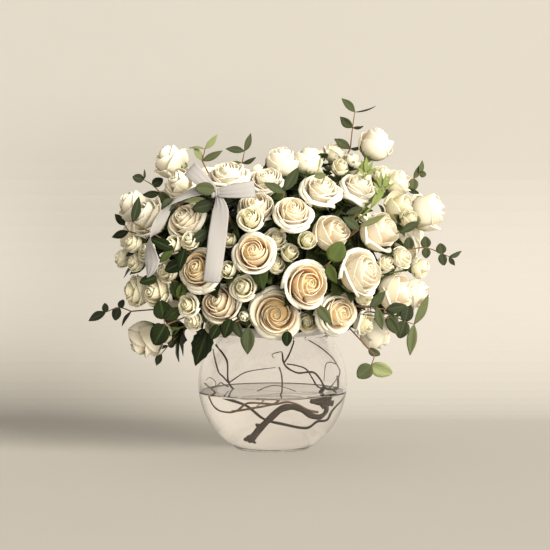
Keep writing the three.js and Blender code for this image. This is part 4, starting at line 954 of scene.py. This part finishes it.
def behind_glass(point):
    """Where a point of the willow really is. A line of sight that meets the bowl above the water goes
    straight on to the point's depth. Below the water's level it bends at the round wall to
    k d + (k c - s) n, with s = sqrt(1 - k^2 (1 - c^2)), so what it shows lies nearer the middle."""
    across, y, up = point
    sight = unit(np.array([0, 1, -SIGHT_SLOPE]))
    start = seen(across, -2 * BOWL_RADIUS, up) - [0, 0, BOWL_CENTRE]
    nearest = -start @ sight
    in_sphere = nearest**2 - start @ start + BOWL_RADIUS**2
    if in_sphere < 0:
        return seen(across, y, up)
    entry = start + sight * (nearest - math.sqrt(in_sphere))
    if entry[2] + BOWL_CENTRE > WATER_LEVEL:
        return seen(across, y, up)
    normal = unit(entry)
    k = 1 / WATER_INDEX
    c = -sight @ normal
    bent = sight * k + normal * (k * c - math.sqrt(1 - k * k * (1 - c * c)))
    return entry + bent * (y - entry[1]) / bent[1] + [0, 0, BOWL_CENTRE]


def make_willow():
    """Twigs swept along smooth lines. Their radius varies by 0.12 times the product of two sine waves along
    them. The low twig has the paler bark of young wood."""
    for node, twigs in WILLOW.items():
        pile = Pile()
        for thick, thin, *points in twigs:
            path = smooth_line([behind_glass(p) for p in points], 10 * len(points))
            t = np.linspace(0, 1, len(path))
            radii = thick + (thin - thick) * t
            radii = radii * (1 + 0.12 * np.sin(40 * t + thick * 9) * np.sin(17 * t + thin * 5))
            pile.tube(path, radii, 14 if thick > 2 else 9)
        bark = YOUNG_BARK if node == "willow_twig_low" else BARK
        pile.piece(f"{node}_bark", bark, "willow_bark", node)


# ---- Materials ----


def material(name):
    """A new material and its node tree, which starts with a Principled shader and an output."""
    m = bpy.data.materials.new(name)
    m.use_nodes = True
    return m, m.node_tree


def feed(tree, value, socket):
    """A number, a colour or another node's output, given to a socket."""
    if isinstance(value, bpy.types.NodeSocket):
        tree.links.new(value, socket)
    elif isinstance(value, tuple):
        socket.default_value = (*value, 1)
    else:
        socket.default_value = value


def put(tree, kind, **values):
    """A node with its inputs and settings given by name."""
    node = tree.nodes.new(kind)
    for key, value in values.items():
        if key in node.inputs:
            feed(tree, value, node.inputs[key])
        else:
            setattr(node, key, value)
    return node


def maths(tree, operation, *values):
    """A Math node on numbers or sockets."""
    node = put(tree, "ShaderNodeMath", operation=operation)
    for socket, value in zip(node.inputs, values):
        feed(tree, value, socket)
    return node.outputs[0]


def blend(tree, kind, fac, a, b):
    """A Mix node on colours or sockets."""
    node = put(tree, "ShaderNodeMix", data_type="RGBA", blend_type=kind)
    for place, value in ((0, fac), (6, a), (7, b)):
        feed(tree, value, node.inputs[place])
    return node.outputs[2]


def ramp(tree, fac, *stops):
    """A colour ramp of (position, colour) stops on a value."""
    node = put(tree, "ShaderNodeValToRGB", Fac=fac)
    band = node.color_ramp.elements
    while len(band) < len(stops):
        band.new(0.5)
    for element, (position, colour) in zip(band, stops):
        element.position = position
        element.color = (*colour, 1)
    return node.outputs["Color"]


def grain_parts(tree):
    """The piece's own across, along and tone values."""
    grain = put(tree, "ShaderNodeAttribute", attribute_name="grain")
    split = put(tree, "ShaderNodeSeparateXYZ", Vector=grain.outputs["Vector"])
    return split.outputs["X"], split.outputs["Y"], split.outputs["Z"]


def shared(name, work, **inputs):
    """A group with these inputs, whose one value is worked out from them."""
    group = bpy.data.node_groups.new(name, "ShaderNodeTree")
    for key, value in inputs.items():
        socket = group.interface.new_socket(key, in_out="INPUT", socket_type="NodeSocketFloat")
        socket.default_value = value
    group.interface.new_socket("Value", in_out="OUTPUT", socket_type="NodeSocketFloat")
    enter, leave = group.nodes.new("NodeGroupInput"), group.nodes.new("NodeGroupOutput")
    group.links.new(work(group, enter.outputs), leave.inputs["Value"])
    return group


def blotches(group, given):
    """Soft blotches of one size on object coordinates, as a value about a half."""
    place = group.nodes.new("ShaderNodeTexCoord").outputs["Object"]
    return put(group, "ShaderNodeTexNoise", Detail=3.0, Scale=given["Scale"], Vector=place).outputs["Fac"]


def fine_ribs(group, given):
    """Fine ribs that run along a petal or leaf and lean out from its middle: waves of Lean v - |u|."""
    across, along, _ = grain_parts(group)
    lean = maths(group, "MULTIPLY", along, given["Lean"])
    less = maths(group, "SUBTRACT", lean, maths(group, "ABSOLUTE", across))
    return maths(group, "PINGPONG", maths(group, "MULTIPLY", less, given["Count"]), 1.0)


MOTTLE = shared("mottle", blotches, Scale=40.0)
RIBS = shared("ribs", fine_ribs, Count=9.0, Lean=1.2)


def use(tree, group, **values):
    """A shared group placed in a material with its own values."""
    node = tree.nodes.new("ShaderNodeGroup")
    node.node_tree = group
    for key, value in values.items():
        node.inputs[key].default_value = value
    return node.outputs["Value"]


def surface(tree, skin, **values):
    """The Principled shader's colour, and its values for the whole surface by their sockets' names."""
    shader = tree.nodes["Principled BSDF"]
    feed(tree, skin, shader.inputs["Base Color"])
    for key, value in values.items():
        shader.inputs[key.replace("_", " ")].default_value = value


def bump(tree, height, strength, distance):
    """A Bump node from a height onto the shader's normal."""
    node = put(tree, "ShaderNodeBump", Strength=strength, Distance=distance, Height=height)
    tree.links.new(node.outputs["Normal"], tree.nodes["Principled BSDF"].inputs["Normal"])


def mix_in(tree, kind, share, **values):
    """A shader of another kind mixed with the Principled one by a share, into the output."""
    other = put(tree, kind, **values)
    both = put(tree, "ShaderNodeMixShader", Fac=share)
    tree.links.new(tree.nodes["Principled BSDF"].outputs["BSDF"], both.inputs[1])
    tree.links.new(other.outputs["BSDF"], both.inputs[2])
    tree.links.new(both.outputs["Shader"], tree.nodes["Material Output"].inputs["Surface"])


def petal_material(name, rim, body, heart, fold):
    """Petals with greenish feet, and towards the bloom's heart golden, with painted shade as a darker orange
    lower down each petal, deep in the folds, and paler at the rims; with faint ribs and blotches, and light
    that comes through them."""
    m, tree = material(name)
    _, along, tone = grain_parts(tree)
    skin = ramp(tree, along, (0.0, (0.62, 0.68, 0.36)), (0.3, body), (0.8, rim))
    inside = maths(tree, "SUBTRACT", 1.05, maths(tree, "POWER", along, 5.0))
    # Painted shade: the fold colour, a darker orange up to along 0.42, stands for the shade deep in the
    # folds; the heart colour from 0.78 on is the rose's own gold.
    heart_gold_and_fold_shade = ramp(tree, along, (0.42, fold), (0.78, heart))
    skin = blend(tree, "MIX", maths(tree, "MULTIPLY", tone, inside), skin, heart_gold_and_fold_shade)
    soft = maths(tree, "MULTIPLY", use(tree, MOTTLE, Scale=60.0), 0.1)
    skin = blend(tree, "MULTIPLY", soft, skin, (0.86, 0.8, 0.68))
    surface(tree, skin, Roughness=0.55, Specular_IOR_Level=0.3, Sheen_Weight=0.15, Sheen_Roughness=0.4)
    bump(tree, use(tree, RIBS, Count=14.0, Lean=0.5), 0.12, 0.0006)
    mix_in(tree, "ShaderNodeBsdfTranslucent", 0.34, Color=skin)
    return m


def leaf_material(name, dark, light, rib, roughness):
    """A leaf: its tone picks between dark and light, with a pale rib, side veins and blotches, and a little
    light that comes through it."""
    m, tree = material(name)
    across, _, tone = grain_parts(tree)
    skin = blend(tree, "MIX", maths(tree, "POWER", tone, 1.5), dark, light)
    veins = use(tree, RIBS, Count=5.0, Lean=1.6)
    vein_line = maths(tree, "POWER", maths(tree, "SUBTRACT", 1.0, veins), 9.0)
    skin = blend(tree, "MIX", maths(tree, "MULTIPLY", vein_line, 0.15), skin, rib)
    middle = maths(tree, "POWER", maths(tree, "SUBTRACT", 1.0, maths(tree, "ABSOLUTE", across)), 14.0)
    skin = blend(tree, "MIX", maths(tree, "MULTIPLY", middle, 0.4), skin, rib)
    soft = maths(tree, "MULTIPLY", use(tree, MOTTLE, Scale=90.0), 0.5)
    skin = blend(tree, "MULTIPLY", soft, skin, (0.62, 0.7, 0.6))
    surface(tree, skin, Roughness=roughness, Specular_IOR_Level=0.22)
    bump(tree, veins, 0.35, 0.0005)
    mix_in(tree, "ShaderNodeBsdfTranslucent", 0.18, Color=skin)
    return m


def plain_material(name, colour, other, roughness, scale, depth=0.2):
    """Two close colours in blotches, with the same blotches as bump."""
    m, tree = material(name)
    spots = use(tree, MOTTLE, Scale=scale)
    surface(tree, blend(tree, "MIX", spots, colour, other), Roughness=roughness)
    bump(tree, spots, depth, 0.001)
    return m


def satin_material(name, colour, roughness):
    """Thin satin: a soft sheen, faint threads one after another along it, and some light through it."""
    m, tree = material(name)
    along = grain_parts(tree)[1]
    spots = maths(tree, "MULTIPLY", use(tree, MOTTLE, Scale=30.0), 0.3)
    skin = blend(tree, "MIX", spots, colour, (0.56, 0.52, 0.47))
    surface(tree, skin, Roughness=roughness, Anisotropic=0.5, Sheen_Weight=0.3)
    bump(tree, maths(tree, "SINE", maths(tree, "MULTIPLY", along, 900.0)), 0.08, 0.0002)
    mix_in(tree, "ShaderNodeBsdfTranslucent", 0.35, Color=skin)
    return m


def glass_material(name, ior, tint):
    """Clear glass or water that lets the sun through, unbent, to what it holds and stands on."""
    m, tree = material(name)
    path = tree.nodes.new("ShaderNodeLightPath")
    passes = maths(tree, "MAXIMUM", path.outputs["Is Shadow Ray"], path.outputs["Is Diffuse Ray"])
    surface(tree, tint, Roughness=0.0, IOR=ior, Transmission_Weight=1.0)
    mix_in(tree, "ShaderNodeBsdfTransparent", passes)
    return m


def paper(name, colour, other):
    """Plain paper that only its front shows and shades, so a sheet of it hides nothing from behind."""
    m = plain_material(name, colour, other, 0.9, 3.0, depth=0.0)
    side = m.node_tree.nodes.new("ShaderNodeNewGeometry")
    mix_in(m.node_tree, "ShaderNodeBsdfTransparent", side.outputs["Backfacing"])
    return m


# Petals: the colours of the rim, the body, the heart, and deep in the folds a darker orange that is painted
# shade. Leaves: dark, light and the rib.
IVORY = (0.95, 0.93, 0.84), (0.94, 0.9, 0.74), (0.93, 0.765, 0.35), (0.87, 0.43, 0.08)
CREAM = (0.95, 0.925, 0.82), (0.94, 0.89, 0.68), (0.93, 0.88, 0.56), (0.84, 0.76, 0.34)
PETAL, SPRAY = petal_material("petal_ivory", *IVORY), petal_material("petal_spray", *CREAM)
LEAF = leaf_material("leaf_rose", (0.008, 0.014, 0.004), (0.11, 0.145, 0.04), (0.12, 0.16, 0.06), 0.42)
GREY_GREEN = (0.024, 0.033, 0.018), (0.3, 0.33, 0.15), (0.16, 0.18, 0.1)
EUCALYPT = leaf_material("leaf_eucalyptus", *GREY_GREEN, 0.5)
STEM = plain_material("stem_green", (0.12, 0.16, 0.035), (0.25, 0.29, 0.1), 0.5, 120.0)
TWIG = plain_material("twig_red_brown", (0.14, 0.06, 0.035), (0.2, 0.13, 0.06), 0.55, 150.0)
BARK = plain_material("willow_bark", (0.012, 0.008, 0.005), (0.05, 0.034, 0.024), 0.75, 160.0, 0.6)
YOUNG_BARK = plain_material("willow_young", (0.03, 0.018, 0.01), (0.12, 0.07, 0.035), 0.65, 160.0, 0.4)
FOAM = plain_material("floral_foam", (0.012, 0.05, 0.022), (0.02, 0.08, 0.035), 0.95, 500.0, 0.6)
WOOD = plain_material("pick_wood", (0.35, 0.24, 0.12), (0.45, 0.32, 0.17), 0.7, 90.0)
SATIN = satin_material("satin_white", (0.44, 0.43, 0.42), 0.34)
GLASS = glass_material("bowl_glass", 1.45, (1.0, 0.99, 0.985))
WATER = glass_material("water_clear", 1.333, (1.0, 0.995, 0.98))
PLASTIC = plain_material("dish_frosted", (0.6, 0.57, 0.54), (0.66, 0.63, 0.6), 0.45, 40.0, 0.05)

# ---- The piece ----

blooms = all_blooms()
groups = fork_stems(blooms)
twig_feet = [at_depth(line, depth)[0] for depth, *twigs in SPRIGS.values() for line, *_ in twigs]
settle(blooms, np.array(twig_feet + [on_dome(*KNOT, KNOT_PROUD)]))

for node, group in groups.items():
    heads, greens, leaves = Pile(), Pile(), Pile()
    for b in group:
        turn = facing(b.direction(), rng.uniform(0, 2 * np.pi))
        add_head(heads, b, turn)
        add_calyx(greens, b, turn)
        foliage = SPRAY_FOLIAGE if b.small else OPEN_FOLIAGE if b.openness > 0.5 else CLOSED_FOLIAGE
        for row in foliage:
            stem_leaves(leaves, b, blooms, *row)
    lay_leaves(greens, greens, blooms, BRACTS.get(node, ()))
    heads.piece(f"{node}_petals", SPRAY if node in SPRAYS else PETAL, "petal", node)
    greens.piece(f"{node}_stems", STEM, "rose_leaf", node)
    leaves.piece(f"{node}_leaves", LEAF, "rose_leaf", node)

for node, (depth, *twigs) in SPRIGS.items():
    grey = node in EUCALYPTUS
    blades, stems = Pile(), Pile()
    add_sprig(blades, stems, depth, twigs, "long" if grey else "rose")
    lay_leaves(blades, stems, blooms, LAID_LEAVES.get(node, ()))
    finish, slot = (EUCALYPT, "eucalyptus_leaf") if grey else (LEAF, "rose_leaf")
    blades.piece(f"{node}_blades", finish, slot, node)
    stems.piece(f"{node}_twigs", TWIG, slot, node)

waxy, stalks = Pile(), Pile()
lay_leaves(waxy, stalks, blooms, WAXY_RIM_LEAVES)
waxy.piece("leaves_rim_waxy", EUCALYPT, "eucalyptus_leaf", "leaves_rim")
stalks.piece("leaves_rim_stalks", TWIG, "eucalyptus_leaf", "leaves_rim")

make_bow(blooms)
for name, profile, sides, finish, slot, node in (
    ("bowl_glass", bowl_profile(), 128, GLASS, "bowl_glass", "bowl"),
    ("water_body", water_profile(), 128, WATER, "water", "water"),
    ("dish_plastic", dish_profile(), 96, PLASTIC, "dish_plastic", "dish"),
):
    pile = Pile()
    pile.lathe(profile, sides)
    pile.piece(name, finish, slot, node)
make_willow()
for node, finish in (("foam", FOAM), ("bow_pick", WOOD)):
    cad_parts[node].data.materials.clear()
    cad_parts[node].data.materials.append(finish)

# ---- Stage, in metres ----

AIM, DISTANCE, LIFT = np.array([0.0034, 0, 0.2335]), 5.0, math.radians(4.6)
LENS, SENSOR = 244, 36
LIT = (0, 0, 0.25)
FLOOR_REACH, SWEEP_REACH, SWEEP_FROM, SWEEP_CURVE, SWEEP_TOP = 60.0, 2.5, 0.3, 0.35, 3.5


def stage_sheet(name, half_width, y, z, finish):
    """A sheet across the stage along the profile (y, z)."""
    n = len(y)
    points = [(x, *place) for x in (-half_width, half_width) for place in zip(y, z)]
    faces = [(i, i + n, i + n + 1, i + 1) for i in range(n - 1)]
    mesh = bpy.data.meshes.new(name)
    mesh.from_pydata(points, [], faces)
    mesh.materials.append(finish)
    link(name, mesh)


def backdrop():
    """A wide floor, and a sweep of the same paper that curves up from it behind the piece."""
    finish = paper("backdrop_paper", (0.37, 0.355, 0.329), (0.38, 0.365, 0.338))
    stage_sheet("floor", FLOOR_REACH, [-FLOOR_REACH, FLOOR_REACH], [0.0, 0.0], finish)
    angle = np.linspace(0, np.pi / 2, 24)
    y = np.append(SWEEP_FROM + SWEEP_CURVE * np.sin(angle), SWEEP_FROM + SWEEP_CURVE)
    z = np.append(SWEEP_CURVE * (1 - np.cos(angle)), SWEEP_TOP)
    stage_sheet("sweep", SWEEP_REACH, y, z, finish)


def look_at(thing, target):
    """Turns a camera or light to face a point."""
    thing.rotation_euler = (Vector(target) - thing.location).to_track_quat("-Z", "Y").to_euler()


def lamp(name, kind, place, energy, colour, **size):
    """A light that faces the piece and isn't itself seen in the glass; size is its width or its angle."""
    data = bpy.data.lights.new(name, kind)
    for key, value in {"energy": energy, "color": colour, **size}.items():
        setattr(data, key, value)
    light = link(name, data)
    light.location = place
    light.visible_glossy = light.visible_transmission = False
    look_at(light, LIT)


def camera():
    """The photograph's side of the piece, from a little above and through a long lens from far off."""
    data = bpy.data.cameras.new("camera")
    data.lens, data.sensor_width = LENS, SENSOR
    eye = link("camera", data)
    eye.location = AIM + DISTANCE * np.array([0, -math.cos(LIFT), math.sin(LIFT)])
    look_at(eye, AIM)
    bpy.context.scene.camera = eye


def daylight(colour, strength):
    """The even light of the surroundings."""
    world = bpy.data.worlds.new("world")
    bpy.context.scene.world = world
    world.use_nodes = True
    ground = world.node_tree.nodes["Background"]
    ground.inputs["Color"].default_value = (*colour, 1)
    ground.inputs["Strength"].default_value = strength


backdrop()
camera()
lamp("key", "SUN", (2.35, -2.2, 1.95), 6.1, (1.0, 0.94, 0.85), angle=math.radians(34))
lamp("fill", "AREA", (1.1, -4.05, 0.6), 104, (1.0, 0.95, 0.88), size=1.2)
daylight((0.95, 0.89, 0.78), 0.53)
bpy.context.scene.view_settings.view_transform = "Standard"
